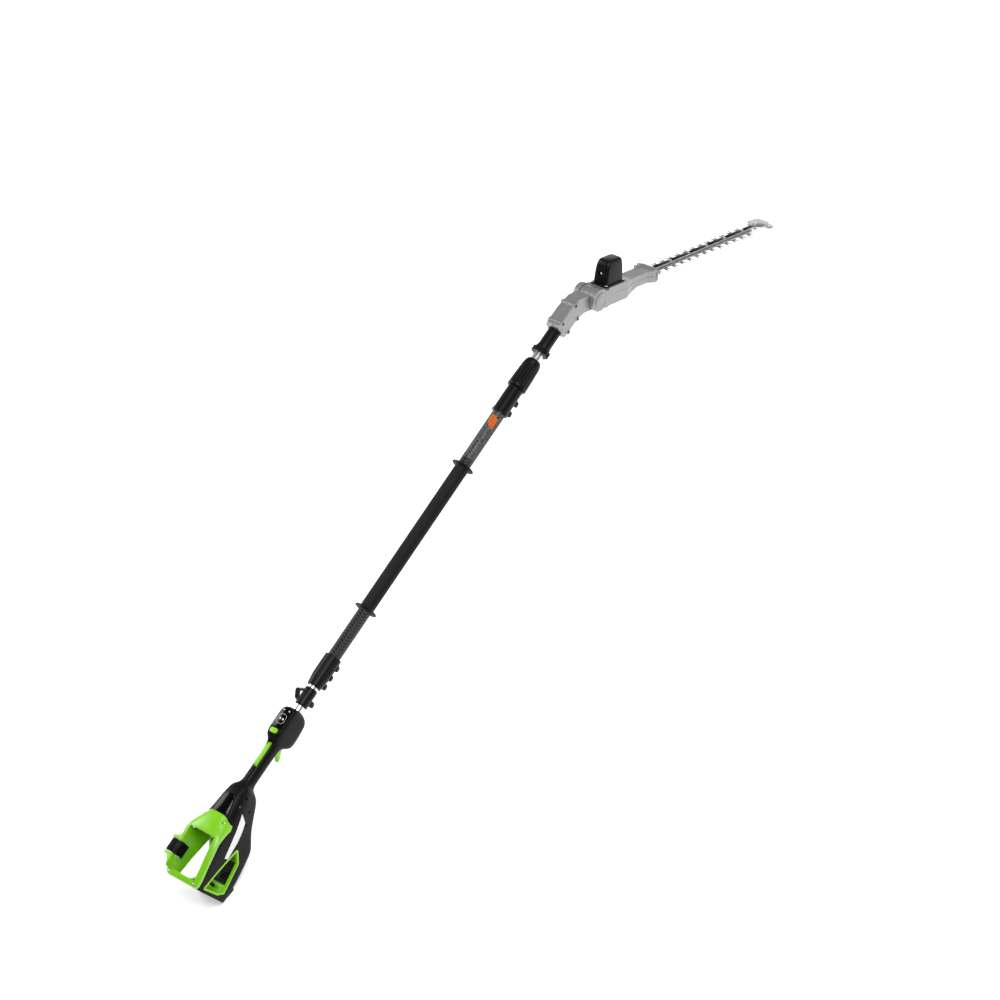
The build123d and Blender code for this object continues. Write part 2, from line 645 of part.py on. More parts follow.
def motor_cover():
    """The tapered motor hood with vent slots in its rear and front faces."""
    hood = cover_form(0)
    hood = chamfer(hood.faces().sort_by(Axis.Z)[-1].edges(), 3)
    hood -= cover_form(WALL)
    for i in range(3):
        hood -= block((20, 130), (-12 + i * 8, -8 + i * 8), (76, 84))
    return hood


def cover_screws():
    places = [(MOTOR_U - 36, 23), (MOTOR_U - 36, -23), (MOTOR_U + 36, 23), (MOTOR_U + 36, -23)]
    group = []
    for u, v in places:
        group.append(one(Pos(u, v, 27) * (rod_z(3.6, 0, 2.0) - Box(4.4, 1.4, 2.2)) - cover_form(0)))
    return group


def motor_stator():
    """The motor's can, screwed to the plate, round the rotor."""
    can = rod_z(19.5, 27, 72, MOTOR_U) - rod_z(14.4, 29, 70, MOTOR_U)
    return can - rod_z(4.0 + RUNNING_GAP, 20, 90, MOTOR_U)


def gear_outline(teeth, turn):
    """A spur gear's outline of straight-flanked teeth, first tooth turned by an angle in degrees."""
    pitch_r = teeth * GEAR_MODULE / 2
    step = 360 / teeth
    shape = []
    for i in range(teeth):
        middle = turn + i * step
        for share, r in ((-0.34, -1.15), (-0.14, 0.85), (0.14, 0.85), (0.34, -1.15)):
            angle = math.radians(middle + share * step * 0.92)
            reach = pitch_r + r * GEAR_MODULE
            shape.append((reach * math.cos(angle), reach * math.sin(angle)))
    return make_face(Polyline(*shape, close=True))


def motor_rotor():
    """The rotor, its shaft and the pinion cut on the shaft's end."""
    rotor = rod_z(13.8, 33, 66, MOTOR_U) + rod_z(4.0, 16, 78, MOTOR_U)
    pinion = Pos(MOTOR_U, 0, 6.5) * extrude(gear_outline(PINION_TEETH, 180 / PINION_TEETH), 9.5)
    return rotor + pinion


def crank_gear():
    """The driven gear and its shaft, with an eccentric for each blade, half a turn apart."""
    gear = Pos(CRANK_U, 0, 8.0) * extrude(gear_outline(GEAR_TEETH, 0), 3.4)
    upper = rod_z(CAM_R, 0.1, 0.1 + BLADE_T, CRANK_U, STROKE)
    lower = rod_z(CAM_R, -0.1 - BLADE_T, -0.1, CRANK_U, -STROKE)
    return rod_z(CRANK_R, -24, 20, CRANK_U) + gear + upper + lower


def blade_outline(direction):
    """A toothed bar: slender teeth on both edges, leaning by the blade's own direction."""
    root, tip = BLADE_HALF, TOOTH_TIP
    start = BLADE_FROM
    lean = 3.0 * direction
    upper = [(start - 12, root)]
    for i in range(BLADE_TEETH):
        middle = start + (i + 0.5) * BLADE_PITCH
        upper += [(middle - 8, root), (middle - 2.6 + lean, tip - 2), (middle - 1.4 + lean, tip),
                  (middle + 1.4 + lean, tip), (middle + 2.6 + lean, tip - 2), (middle + 8, root)]
    end = start + BLADE_TEETH * BLADE_PITCH + 16
    upper += [(end - 8, root), (end, root - 8)]
    lower = [(u, -v) for u, v in reversed(upper)]
    return upper + lower


def blade(direction, z_low):
    """A reciprocating blade with its drive loop at the crank and slots for the rail's bolts."""
    bar = plate(blade_outline(direction), z_low, z_low + BLADE_T)
    loop = 2 * (CAM_R + 2 * STROKE + 0.4)
    width = 2 * (CAM_R + STROKE + 0.4)
    end, root = CRANK_U - loop / 2 - 5, CRANK_U + loop / 2 + 4
    tail = plate([(end, 24), (root, 24), (root + TAIL_TAPER, 11), (BLADE_FROM - 11, 11),
                  (BLADE_FROM - 11, -11), (root + TAIL_TAPER, -11), (root, -24), (end, -24)],
                 z_low, z_low + BLADE_T)
    body = bar + tail
    body -= Pos(CRANK_U, 0, z_low - 1) * extrude(RectangleRounded(loop, width, 9), BLADE_T + 2)
    for u in rail_bolts():
        body -= Pos(u, 0, z_low - 1) * extrude(SlotOverall(2 * STROKE + 8, 6.6), BLADE_T + 2)
    return body


def rail_bolts():
    """Places of the bolts that hold the blades to the rail."""
    return [BLADE_FROM + 8 + i * 84 for i in range(6)] + [RAIL_END - 14]


def blade_rail():
    """The long stiffening bar over the blades."""
    bar = block((196, RAIL_END), (-7.5, 7.5), (BLADE_T + 0.35, BLADE_T + 5.6))
    for u in rail_bolts():
        bar -= rod_z(3.0, 0, 20, u)
    return bar


def rail_bolts_node():
    """Shouldered bolts with a washer under the blades and a nut on the rail."""
    group = []
    for u in rail_bolts():
        seat = BLADE_T + 5.6 + (2.0 if u > RAIL_END - 30 else 0.0)
        bolt = rod_z(3.0, -BLADE_T - 0.4, seat + 3.0, u) + rod_z(6.4, -BLADE_T - 2.4, -BLADE_T - 0.4, u)
        nut = Pos(u, 0, seat) * extrude(RegularPolygon(5.4, 6), 3.0)
        group.append(one(bolt + nut))
    return group


def rail_cover():
    """Black strips laid on the rail between its bolts."""
    places = rail_bolts()
    z = BLADE_T + 5.6
    ends = places[1:-1] + [RAIL_END - 28]
    return [block((a + 7, b - 7), (-4.5, 4.5), (z, z + 3.2)) for a, b in zip(places, ends)]


def guard_flange():
    """The pressed plate at the front of the arm that keeps twigs off the case."""
    outline = [(254, -21), (258, -23), (262, -21), (262, 14), (257, 19), (254, 19)]
    guard = slab(outline, -33, 33)
    return guard - block((250, 270), (-BLADE_HALF - 1.5, BLADE_HALF + 1.5), (-4, 9.5))


def tip_guard():
    """The folded plate over the tip of the blades, bolted to the rail."""
    z = BLADE_T + 5.6
    top = plate([(RAIL_END - 34, 16), (RAIL_END - 18, 28), (RAIL_END + 18, 26), (RAIL_END + 30, 16),
                 (RAIL_END + 30, -16), (RAIL_END + 18, -26), (RAIL_END - 18, -28), (RAIL_END - 34, -16)],
                z, z + 2.0)
    front = block((RAIL_END + 28, RAIL_END + 30), (-16, 16), (-6, z + 2.0))
    lower = plate([(RAIL_END + 28, 26), (RAIL_END + 48, 24), (RAIL_END + 54, 10), (RAIL_END + 54, -10),
                   (RAIL_END + 48, -24), (RAIL_END + 28, -26)], -8, -6)
    guard = top + front + lower
    return guard - rod_z(3.0, -20, 40, RAIL_END - 14)


def index_slider():
    """The thumb slide, drawn back, whose pin drops into the index holes of the knuckle."""
    tab = block((30, 48), (-8, 8), (-37, -31.4)) + block((33, 47), (-6, 6), (-31.4, 3))
    return Pos(INDEX_TRAVEL, 0, 0) * (tab + rod_x(3.0, 23, 34))


# ---- Assembly -------------------------------------------------------------------------------------
def in_head(shape):
    """Shapes drawn in the head frame, moved to the pole frame."""
    if isinstance(shape, list):
        return Compound(children=[HEAD * one(s) for s in shape])
    return HEAD * shape


def nodes():
    """Every node by name, in the pole frame."""
    housing_left, housing_right = halves(housing())
    neck_left, neck_right = neck_halves()
    case_upper, case_lower = gearcase()
    return {
        "housing_left": housing_left,
        "housing_right": housing_right,
        "housing_screws": housing_screws(),
        "battery_frame": battery_frame(),
        "frame_screws": frame_screws(),
        "cap_window": cap_window(),
        "nameplates": nameplates(),
        "fin_block": fin_block(),
        "controller_pod": controller_pod(),
        "terminal_block": terminal_block(),
        "panel_glass": panel_glass(),
        "panel_board": panel_board(),
        "trigger_switch": trigger_switch(),
        "lever_pins": lever_pins(),
        "rear_foot": rear_foot(),
        "power_button": power_button(),
        "lock_lever": lock_lever(),
        "lock_spring": lock_spring(),
        "trigger": trigger(),
        "trigger_spring": trigger_spring(),
        "battery_latch": battery_latch(),
        "latch_spring": latch_spring(),
        "lower_tube": lower_tube(),
        "strap_clamp": strap_clamp(),
        "strap_clamp_screw": strap_clamp_screw(),
        "lower_collar": lower_collar(),
        "lower_collar_screws": lower_collar_screws(),
        "collar_bush": collar_bush(),
        "outer_tube": outer_tube(),
        "grip_sleeve": grip_sleeve(),
        "tube_label": tube_label(),
        "upper_collar": upper_collar(),
        "upper_collar_screws": upper_collar_screws(),
        "collet": collet(),
        "twist_knob": twist_knob(),
        "inner_tube": inner_tube(),
        "guide_bush": guide_bush(),
        "coupling_sleeve": coupling_sleeve(),
        "neck_left": neck_left,
        "neck_right": neck_right,
        "neck_screws": neck_screws(),
        "pivot_pin": PIVOT * pivot_pin(),
        "gearcase_upper": in_head(case_upper),
        "gearcase_lower": in_head(case_lower),
        "cheek_caps": in_head(cheek_caps()),
        "motor_plate": in_head(motor_plate()),
        "motor_cover": in_head(motor_cover()),
        "cover_screws": in_head(cover_screws()),
        "motor_stator": in_head(motor_stator()),
        "motor_rotor": in_head(motor_rotor()),
        "crank_gear": in_head(crank_gear()),
        "upper_blade": in_head(blade(1, 0.1)),
        "lower_blade": in_head(blade(-1, -BLADE_T - 0.1)),
        "blade_rail": in_head(blade_rail()),
        "rail_cover": in_head(rail_cover()),
        "rail_bolts": in_head(rail_bolts_node()),
        "guard_flange": in_head(guard_flange()),
        "tip_guard": in_head(tip_guard()),
        "index_slider": in_head(index_slider()),
    }


def rest_place(shapes):
    """The location that lays the pole-frame nodes on the floor, below the middle of their box."""
    turn = Rot(0, -rest_angle(), 0)
    box = Compound(children=[turn * shape for shape in shapes]).bounding_box()
    return Pos(-(box.min.X + box.max.X) / 2, -(box.min.Y + box.max.Y) / 2, -box.min.Z) * turn


def main():
    os.makedirs("parts", exist_ok=True)
    pieces = nodes()
    place = rest_place(pieces.values())
    for name, shape in pieces.items():
        export_step(place * shape, f"parts/{name}.step")
    return place


main()
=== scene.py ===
"""Looks of a battery pole hedge trimmer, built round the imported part.

Pieces are drawn in millimetres, in the pole frame (X along the pole to the head, Y to the left, Z on the
display side) or in the head frame (X along the blade, Z on the motor side), and are moved into the
part's own frame when they are finished.
"""
import json
import math

import bmesh
import bpy
from mathutils import Matrix, Vector


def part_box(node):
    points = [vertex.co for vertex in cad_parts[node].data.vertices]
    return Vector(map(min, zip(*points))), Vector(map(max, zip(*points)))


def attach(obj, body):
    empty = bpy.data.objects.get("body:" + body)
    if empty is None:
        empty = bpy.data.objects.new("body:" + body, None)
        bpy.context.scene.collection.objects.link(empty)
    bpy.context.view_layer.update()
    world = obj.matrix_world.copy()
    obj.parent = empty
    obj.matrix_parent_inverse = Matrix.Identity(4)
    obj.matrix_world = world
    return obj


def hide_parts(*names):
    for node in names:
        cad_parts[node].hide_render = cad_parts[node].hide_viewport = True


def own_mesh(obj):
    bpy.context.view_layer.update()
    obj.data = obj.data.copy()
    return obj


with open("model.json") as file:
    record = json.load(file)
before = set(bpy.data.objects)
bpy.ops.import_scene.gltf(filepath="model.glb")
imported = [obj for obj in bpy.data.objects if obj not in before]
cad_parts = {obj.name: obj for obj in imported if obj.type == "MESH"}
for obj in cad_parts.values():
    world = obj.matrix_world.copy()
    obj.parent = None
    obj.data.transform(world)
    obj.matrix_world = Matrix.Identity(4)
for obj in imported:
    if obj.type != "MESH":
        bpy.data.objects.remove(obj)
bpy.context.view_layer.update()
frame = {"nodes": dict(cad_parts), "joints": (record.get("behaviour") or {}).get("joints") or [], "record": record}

MM = 0.001
SIDE = Vector((0, 1, 0))
TUBE_MIDDLE_X = 318.0
JOINTS = {joint["name"]: joint for joint in frame["joints"]}


def drawing_frame(origin, along):
    """The matrix from millimetres in a tool frame to metres in the part's frame."""
    up = along.cross(SIDE)
    turn = Matrix((along, SIDE, up)).transposed().to_4x4()
    return Matrix.Translation(origin) @ turn @ Matrix.Scale(MM, 4)


pole_axis = Vector(JOINTS["telescope"]["axis"]).normalized()
blade_axis = Vector(JOINTS["blade_a_slide"]["axis"]).normalized()
tube_middle = sum(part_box("outer_tube"), Vector()) / 2
POLE = drawing_frame(tube_middle - pole_axis * TUBE_MIDDLE_X * MM, pole_axis)
HEAD = drawing_frame(Vector(JOINTS["head_tilt"]["pos_m"]), blade_axis)


# ---- Shader building ------------------------------------------------------------------------------
def node(tree, kind, inputs=None, **settings):
    """Adds a shader node, with its settings and its inputs as values or as sockets to link."""
    made = tree.nodes.new("ShaderNode" + kind)
    for key, value in settings.items():
        setattr(made, key, value)
    return fed(tree, made, inputs or {})


def fed(tree, made, inputs):
    """Gives a shader node its inputs."""
    for key, value in inputs.items():
        if isinstance(value, bpy.types.NodeSocket):
            tree.links.new(value, made.inputs[key])
        else:
            made.inputs[key].default_value = value
    return made


def maths(tree, operation, a, b=0.0, clamp=False):
    """The result of one Math node."""
    return node(tree, "Math", {0: a, 1: b}, operation=operation, use_clamp=clamp).outputs[0]


def mixed(tree, factor, a, b):
    """Two colours mixed by a factor."""
    return node(tree, "Mix", {0: factor, 6: a, 7: b}, data_type="RGBA").outputs[2]


def noise(tree, at, scale, detail, roughness=0.5):
    """Noise over a position, from 0 to 1."""
    inputs = {"Vector": at, "Scale": scale, "Detail": detail, "Roughness": roughness}
    return node(tree, "TexNoise", inputs).outputs["Fac"]


def rough_between(tree, shader, tone, low, high):
    """Lets the roughness follow a tone between two values."""
    span = node(tree, "MapRange", {"Value": tone, "To Min": low, "To Max": high})
    tree.links.new(span.outputs[0], shader.inputs["Roughness"])


def bumped(tree, shader, height, strength, distance):
    """Raises the surface by a height pattern."""
    bump = node(tree, "Bump", {"Strength": strength, "Distance": distance, "Height": height})
    tree.links.new(bump.outputs[0], shader.inputs["Normal"])


def new_group(name, inputs, outputs):
    """An empty shader node group; an input given as None is a vector, every other socket is a value."""
    tree = bpy.data.node_groups.new(name, "ShaderNodeTree")
    for label, value in inputs.items():
        kind = "NodeSocketVector" if value is None else "NodeSocketFloat"
        socket = tree.interface.new_socket(name=label, in_out="INPUT", socket_type=kind)
        if value is not None:
            socket.default_value = value
    for label in outputs:
        tree.interface.new_socket(name=label, in_out="OUTPUT", socket_type="NodeSocketFloat")
    return tree, tree.nodes.new("NodeGroupInput").outputs, tree.nodes.new("NodeGroupOutput").inputs


def placed(tree, group, inputs):
    """A group placed in a material with its own values."""
    made = tree.nodes.new("ShaderNodeGroup")
    made.node_tree = group
    return fed(tree, made, inputs).outputs


def grain_group():
    """Fine spark-eroded grain for its height, and a slow mottling for its tone."""
    tree, given, out = new_group("surface_grain", {"Vector": None, "Scale": 900.0}, ["Height", "Tone"])
    tree.links.new(noise(tree, given["Vector"], given["Scale"], 3.0), out["Height"])
    tree.links.new(noise(tree, given["Vector"], 14.0, 4.0, 0.65), out["Tone"])
    return tree


def wear_group():
    """Where handling has rubbed the edges: the rounded normal against the true one, broken by noise."""
    tree, given, out = new_group("edge_rub", {"Vector": None, "Radius": 0.0012, "Amount": 0.5}, ["Mask"])
    rounded = node(tree, "Bevel", {"Radius": given["Radius"]}, samples=4).outputs[0]
    flat = node(tree, "NewGeometry").outputs["Normal"]
    match = node(tree, "VectorMath", {0: rounded, 1: flat}, operation="DOT_PRODUCT").outputs["Value"]
    edge = maths(tree, "MULTIPLY", maths(tree, "SUBTRACT", 1.0, match), 6.0, clamp=True)
    broken = maths(tree, "MULTIPLY", edge, noise(tree, given["Vector"], 70.0, 5.0))
    tree.links.new(maths(tree, "MULTIPLY", broken, given["Amount"], clamp=True), out["Mask"])
    return tree


def dust_group():
    """A thin film of dust on what faces upwards, patchy."""
    tree, given, out = new_group("settled_dust", {"Vector": None, "Amount": 0.2}, ["Mask"])
    facing = node(tree, "NewGeometry")
    parts = node(tree, "SeparateXYZ", {0: facing.outputs["Normal"]})
    up = maths(tree, "MULTIPLY", parts.outputs["Z"], 1.0, clamp=True)
    film = maths(tree, "MULTIPLY", up, noise(tree, given["Vector"], 45.0, 6.0, 0.7))
    tree.links.new(maths(tree, "MULTIPLY", film, given["Amount"], clamp=True), out["Mask"])
    return tree


def drawn_group():
    """Fine lines along X, as on drawn or ground metal."""
    tree, given, out = new_group("drawn_lines", {"Vector": None, "Scale": 1.0}, ["Height"])
    thin = node(tree, "VectorMath", {0: given["Vector"], 1: (0.01, 3.0, 3.0)}, operation="MULTIPLY")
    tree.links.new(noise(tree, thin.outputs[0], given["Scale"], 2.0), out["Height"])
    return tree


def braid_group():
    """The chevrons of a woven sleeve round a tube along X: their tone and their height."""
    tree, given, out = new_group("braided_sleeve", {"Vector": None, "Columns": 14.0, "Pitch": 5.0},
                                 ["Tone", "Height"])
    parts = node(tree, "SeparateXYZ", {0: given["Vector"]}).outputs
    turn = maths(tree, "DIVIDE", maths(tree, "ARCTAN2", parts["Y"], parts["Z"]), 2 * math.pi)
    column = maths(tree, "MULTIPLY", turn, given["Columns"])
    zigzag = maths(tree, "PINGPONG", column, 0.5)
    along = maths(tree, "DIVIDE", parts["X"], given["Pitch"])
    strand = maths(tree, "ADD", along, maths(tree, "MULTIPLY", zigzag, 2.0))
    wave = maths(tree, "SINE", maths(tree, "MULTIPLY", strand, 2 * math.pi))
    lifted = maths(tree, "ADD", maths(tree, "MULTIPLY", wave, 0.5), 0.5)
    side = maths(tree, "GREATER_THAN", maths(tree, "PINGPONG", column, 1.0), 0.5)
    tone = maths(tree, "ADD", maths(tree, "MULTIPLY", lifted, 0.7), maths(tree, "MULTIPLY", side, 0.3))
    tree.links.new(tone, out["Tone"])
    tree.links.new(lifted, out["Height"])
    return tree


GRAIN, RUB, DUST = grain_group(), wear_group(), dust_group()
DRAWN, BRAID = drawn_group(), braid_group()
DUST_TONE = (150, 147, 140)


def tool_coordinates(tree, matrix):
    """Object coordinates turned into millimetres in a tool frame."""
    place, turn, size = matrix.inverted().decompose()
    texture = node(tree, "TexCoord")
    mapping = node(tree, "Mapping", {"Vector": texture.outputs["Object"], "Location": place,
                                     "Rotation": turn.to_euler(), "Scale": size})
    return mapping.outputs[0]


def channels(value):
    """A grey or a colour as its three channels."""
    return (value,) * 3 if isinstance(value, int) else value


def shade(value, factor=1.0):
    """An sRGB grey or colour, 0 to 255, as a linear colour, made darker or lighter by a factor."""
    return tuple(min((c / 255) ** 2.2 * factor, 1.0) for c in channels(value)) + (1.0,)


def base_material(name):
    """A material with a Principled shader, its tree and its Object coordinates."""
    material = bpy.data.materials.new(name)
    material.use_nodes = True
    tree = material.node_tree
    shader = tree.nodes["Principled BSDF"]
    return material, tree, shader, node(tree, "TexCoord").outputs["Object"]


def moulded(name, color, rough, grain=900.0, depth=0.25, tone=0.12, rub=0.25, dust=0.15, specular=0.5,
            metal=0.0, rub_color=None):
    """A moulded, cast or coated finish: grain, slow mottling, rubbed edges and a little dust."""
    material, tree, shader, at = base_material(name)
    surface = placed(tree, GRAIN, {"Vector": at, "Scale": grain})
    body = mixed(tree, surface["Tone"], shade(color, 1 - tone), shade(color, 1 + tone))
    worn = placed(tree, RUB, {"Vector": at, "Amount": rub})["Mask"]
    pale = rub_color or tuple(min(c * 1.6 + 18, 255) for c in channels(color))
    body = mixed(tree, worn, body, shade(pale))
    film = placed(tree, DUST, {"Vector": at, "Amount": dust})["Mask"]
    tree.links.new(mixed(tree, film, body, shade(DUST_TONE)), shader.inputs["Base Color"])
    rough_between(tree, shader, surface["Tone"], rough - 0.06, rough + 0.08)
    bumped(tree, shader, surface["Height"], depth, 0.0003)
    shader.inputs["Metallic"].default_value = metal
    shader.inputs["Specular IOR Level"].default_value = specular
    return material


def drawn_metal(name, color, rough, matrix, tone=0.12, scale=1.0):
    """Bare metal with fine lines along the tool frame's X, and faint handling marks."""
    material, tree, shader, at = base_material(name)
    along = tool_coordinates(tree, matrix)
    height = placed(tree, DRAWN, {"Vector": along, "Scale": scale})["Height"]
    surface = placed(tree, GRAIN, {"Vector": at, "Scale": 300.0})
    body = mixed(tree, height, shade(color, 1 - tone), shade(color))
    tree.links.new(body, shader.inputs["Base Color"])
    rough_between(tree, shader, surface["Tone"], rough - 0.06, rough + 0.12)
    bumped(tree, shader, height, 0.25, 0.0002)
    shader.inputs["Metallic"].default_value = 1.0
    return material


def woven_tube(name):
    """The black braided sleeve of the outer tube under a clear skin."""
    material, tree, shader, at = base_material(name)
    along = tool_coordinates(tree, POLE)
    weave = placed(tree, BRAID, {"Vector": along, "Columns": 4.0, "Pitch": 9.5})
    surface = placed(tree, GRAIN, {"Vector": at, "Scale": 1500.0})
    body = mixed(tree, weave["Tone"], shade(7), shade(66))
    film = placed(tree, DUST, {"Vector": at, "Amount": 0.01})["Mask"]
    tree.links.new(mixed(tree, film, body, shade(120)), shader.inputs["Base Color"])
    rough_between(tree, shader, surface["Tone"], 0.3, 0.42)
    bumped(tree, shader, weave["Height"], 0.8, 0.0008)
    shader.inputs["Specular IOR Level"].default_value = 0.2
    return material


def printed_film(name):
    """A dark film with rows of broken grey strokes along the tube, standing for small print."""
    material, tree, shader, at = base_material(name)
    along = tool_coordinates(tree, POLE)
    parts = node(tree, "SeparateXYZ", {0: along}).outputs
    row = maths(tree, "MULTIPLY", maths(tree, "ARCTAN2", parts["Y"], parts["Z"]), 9.0)
    stroke = maths(tree, "GREATER_THAN", maths(tree, "PINGPONG", row, 0.5), 0.2)
    stretched = node(tree, "VectorMath", {0: along, 1: (0.5, 0.12, 0.12)}, operation="MULTIPLY")
    breaks = maths(tree, "GREATER_THAN", noise(tree, stretched.outputs[0], 1.0, 1.0), 0.47)
    shown = maths(tree, "MULTIPLY", stroke, breaks)
    tree.links.new(mixed(tree, shown, shade(30), shade(104)), shader.inputs["Base Color"])
    surface = placed(tree, GRAIN, {"Vector": at, "Scale": 900.0})
    rough_between(tree, shader, surface["Tone"], 0.34, 0.46)
    return material


MATERIALS = {
    "black_shell": moulded("black_shell", 15, 0.42, grain=1200, depth=0.3, dust=0.012, specular=0.13),
    "green_shell": moulded("green_shell", (126, 200, 16), 0.32, grain=1500, depth=0.1, tone=0.05, dust=0.02),
    "gloss_black": moulded("gloss_black", 5, 0.13, grain=200, depth=0.01, rub=0.1, dust=0.004, specular=0.16),
    "plate_silver": moulded("plate_silver", 232, 0.4, grain=500, depth=0.05, tone=0.03, dust=0.03),
    "fin_metal": moulded("fin_metal", 42, 0.4, metal=0.6),
    "pod_black": moulded("pod_black", 24, 0.45),
    "contact_brass": moulded("contact_brass", 30, 0.5),
    "board_green": moulded("board_green", (20, 80, 40), 0.4),
    "switch_black": moulded("switch_black", 26, 0.5),
    "steel": moulded("steel", 170, 0.3, grain=400, depth=0.05, metal=1.0, tone=0.08),
    "screw_steel": moulded("screw_steel", 205, 0.22, grain=500, depth=0.05, metal=1.0, tone=0.1, dust=0.05),
    "foot_rubber": moulded("foot_rubber", 22, 0.7, grain=700, depth=0.4, dust=0.012, specular=0.14),
    "green_control": moulded("green_control", (130, 205, 14), 0.3, grain=1500, depth=0.08, tone=0.05,
                             dust=0.02),
    "latch_black": moulded("latch_black", 12, 0.34, grain=1200, depth=0.2, dust=0.01, specular=0.14),
    "tube_metal": drawn_metal("tube_metal", 225, 0.24, POLE),
    "collar_black": moulded("collar_black", 17, 0.36, grain=1200, depth=0.25, dust=0.012, specular=0.16),
    "bush_plastic": moulded("bush_plastic", 90, 0.5),
    "tube_braid": woven_tube("tube_braid"),
    "grip_rubber": moulded("grip_rubber", 22, 0.5, grain=800, depth=0.35, dust=0.012, specular=0.16),
    "label_film": printed_film("label_film"),
    "cast_grey": moulded("cast_grey", 148, 0.36, grain=700, depth=0.25, tone=0.05, rub=0.3, rub_color=200,
                         dust=0.03, metal=0.55),
    "cover_black": moulded("cover_black", 15, 0.34, grain=1100, depth=0.25, dust=0.01, specular=0.2),
    "motor_steel": moulded("motor_steel", 140, 0.4, metal=1.0),
    "gear_steel": moulded("gear_steel", 150, 0.3, metal=1.0),
    "blade_steel": drawn_metal("blade_steel", 178, 0.3, HEAD, tone=0.25, scale=2.0),
    "rail_alu": drawn_metal("rail_alu", 190, 0.32, HEAD),
    # Dark grey screws: painted shade of the holes and counterbores the screws sit in.
    "screw_painted_shade": moulded("screw_painted_shade", 70, 0.34, grain=700, depth=0.05, dust=0.02, metal=0.85),
    "mark_white": moulded("mark_white", 235, 0.4, depth=0.02, tone=0.02, rub=0.0, dust=0.02),
    "label_orange": moulded("label_orange", (208, 96, 18), 0.42, depth=0.1, tone=0.05, rub=0.05, dust=0.01,
                            specular=0.2),
}


def node_slots():
    """The material slot of each CAD node, as the record gives it."""
    return {subpart["node"]: subpart["material_slot"] for subpart in frame["record"]["subparts"]}


# ---- Shaping --------------------------------------------------------------------------------------
def edit_mode(on):
    """Goes into or out of edit mode."""
    bpy.ops.object.mode_set(mode="EDIT" if on else "OBJECT")


def pick(piece):
    """Makes a piece the only selected and active object."""
    bpy.ops.object.select_all(action="DESELECT")
    piece.select_set(True)
    bpy.context.view_layer.objects.active = piece


def start_face(name, points):
    """A filled ring of points, the first section of a form, open for extruding."""
    bpy.ops.object.select_all(action="DESELECT")
    bpy.ops.mesh.primitive_circle_add(vertices=len(points), radius=1, fill_type="NGON")
    piece = bpy.context.object
    piece.name = piece.data.name = name
    for vertex, point in zip(piece.data.vertices, points):
        vertex.co = point
    return piece


def recalculated(piece):
    """Merges doubles and turns every face outwards."""
    pick(piece)
    edit_mode(True)
    bpy.ops.mesh.select_all(action="SELECT")
    bpy.ops.mesh.remove_doubles(threshold=0.001)
    bpy.ops.mesh.normals_make_consistent(inside=False)
    edit_mode(False)
    return piece


def lofted(name, sections):
    """A closed form through sections of the same number of points, extruded one after another."""
    piece = start_face(name, sections[0])
    count = len(sections[0])
    edit_mode(True)
    bpy.ops.mesh.select_all(action="SELECT")
    for section in sections[1:]:
        bpy.ops.mesh.extrude_region_move()
        form = bmesh.from_edit_mesh(piece.data)
        moved = [vertex for vertex in form.verts if vertex.select]
        for vertex, point in zip(moved[:count], section):
            vertex.co = point
        bmesh.update_edit_mesh(piece.data)
    edit_mode(False)
    return recalculated(piece)


def prism(name, outline, low, high, axis="Y"):
    """An outline extruded between two levels of an axis, the outline drawn in the other two."""
    def at(a, b, level):
        return {"X": (level, a, b), "Y": (a, level, b), "Z": (a, b, level)}[axis]
    piece = start_face(name, [at(a, b, low) for a, b in outline])
    step = [high - low if letter == axis else 0 for letter in "XYZ"]
    edit_mode(True)
    bpy.ops.mesh.select_all(action="SELECT")
    bpy.ops.mesh.extrude_region_move(TRANSFORM_OT_translate={"value": step})
    edit_mode(False)
    return recalculated(piece)


def slab(name, x, y, z):
    """A rectangular block between (low, high) pairs, for cutting or joining."""
    return prism(name, [(x[0], z[0]), (x[1], z[0]), (x[1], z[1]), (x[0], z[1])], y[0], y[1])


def ring_points(x, radius, count, shape=None):
    """Points of a ring about X; shape may scale each direction by its angle."""
    points = []
    for i in range(count):
        angle = 2 * math.pi * i / count
        reach = radius * shape(angle) if shape else radius
        points.append((x, reach * math.cos(angle), reach * math.sin(angle)))
    return points


def turned(name, profile, count):
    """A form turned about X through (x, radius) stations."""
    return lofted(name, [ring_points(x, radius, count) for x, radius in profile])


def rod(name, axis, radius, low, high, at=(0, 0), count=32):
    """A round bar along an axis, its centre given in the other two."""
    angles = [2 * math.pi * i / count for i in range(count)]
    outline = [(at[0] + radius * math.cos(a), at[1] + radius * math.sin(a)) for a in angles]
    return prism(name, outline, low, high, axis)


def modified(piece, kind, **settings):
    """Adds one modifier and applies it."""
    pick(piece)
    modifier = piece.modifiers.new(kind.lower(), kind)
    for key, value in settings.items():
        setattr(modifier, key, value)
    bpy.ops.object.modifier_apply(modifier=modifier.name)
    return piece


def joined(*pieces, name=None):
    """Several meshes as one object, under the first's name or a new one."""
    pick(pieces[0])
    for piece in pieces[1:]:
        piece.select_set(True)
    bpy.ops.object.join()
    if name:
        pieces[0].name = name
    return pieces[0]


def combined(piece, tool, operation):
    """One boolean of a piece with a tool, which is used up."""
    modified(piece, "BOOLEAN", object=tool, operation=operation, solver="EXACT")
    bpy.data.objects.remove(tool)
    return piece


def cut(piece, *tools):
    """Takes the tools away from a piece."""
    for tool in tools:
        combined(piece, tool, "DIFFERENCE")
    return piece


def fused(piece, *tools):
    """Adds the tools to a piece as one body."""
    for tool in tools:
        combined(piece, tool, "UNION")
    return piece


def eased(piece, width, segments=2, angle=35):
    """Rounds the sharp edges and smooths what lies between them."""
    modified(piece, "BEVEL", width=width, segments=segments, limit_method="ANGLE",
             angle_limit=math.radians(angle), use_clamp_overlap=True, miter_outer="MITER_ARC")
    return smoothed(piece)


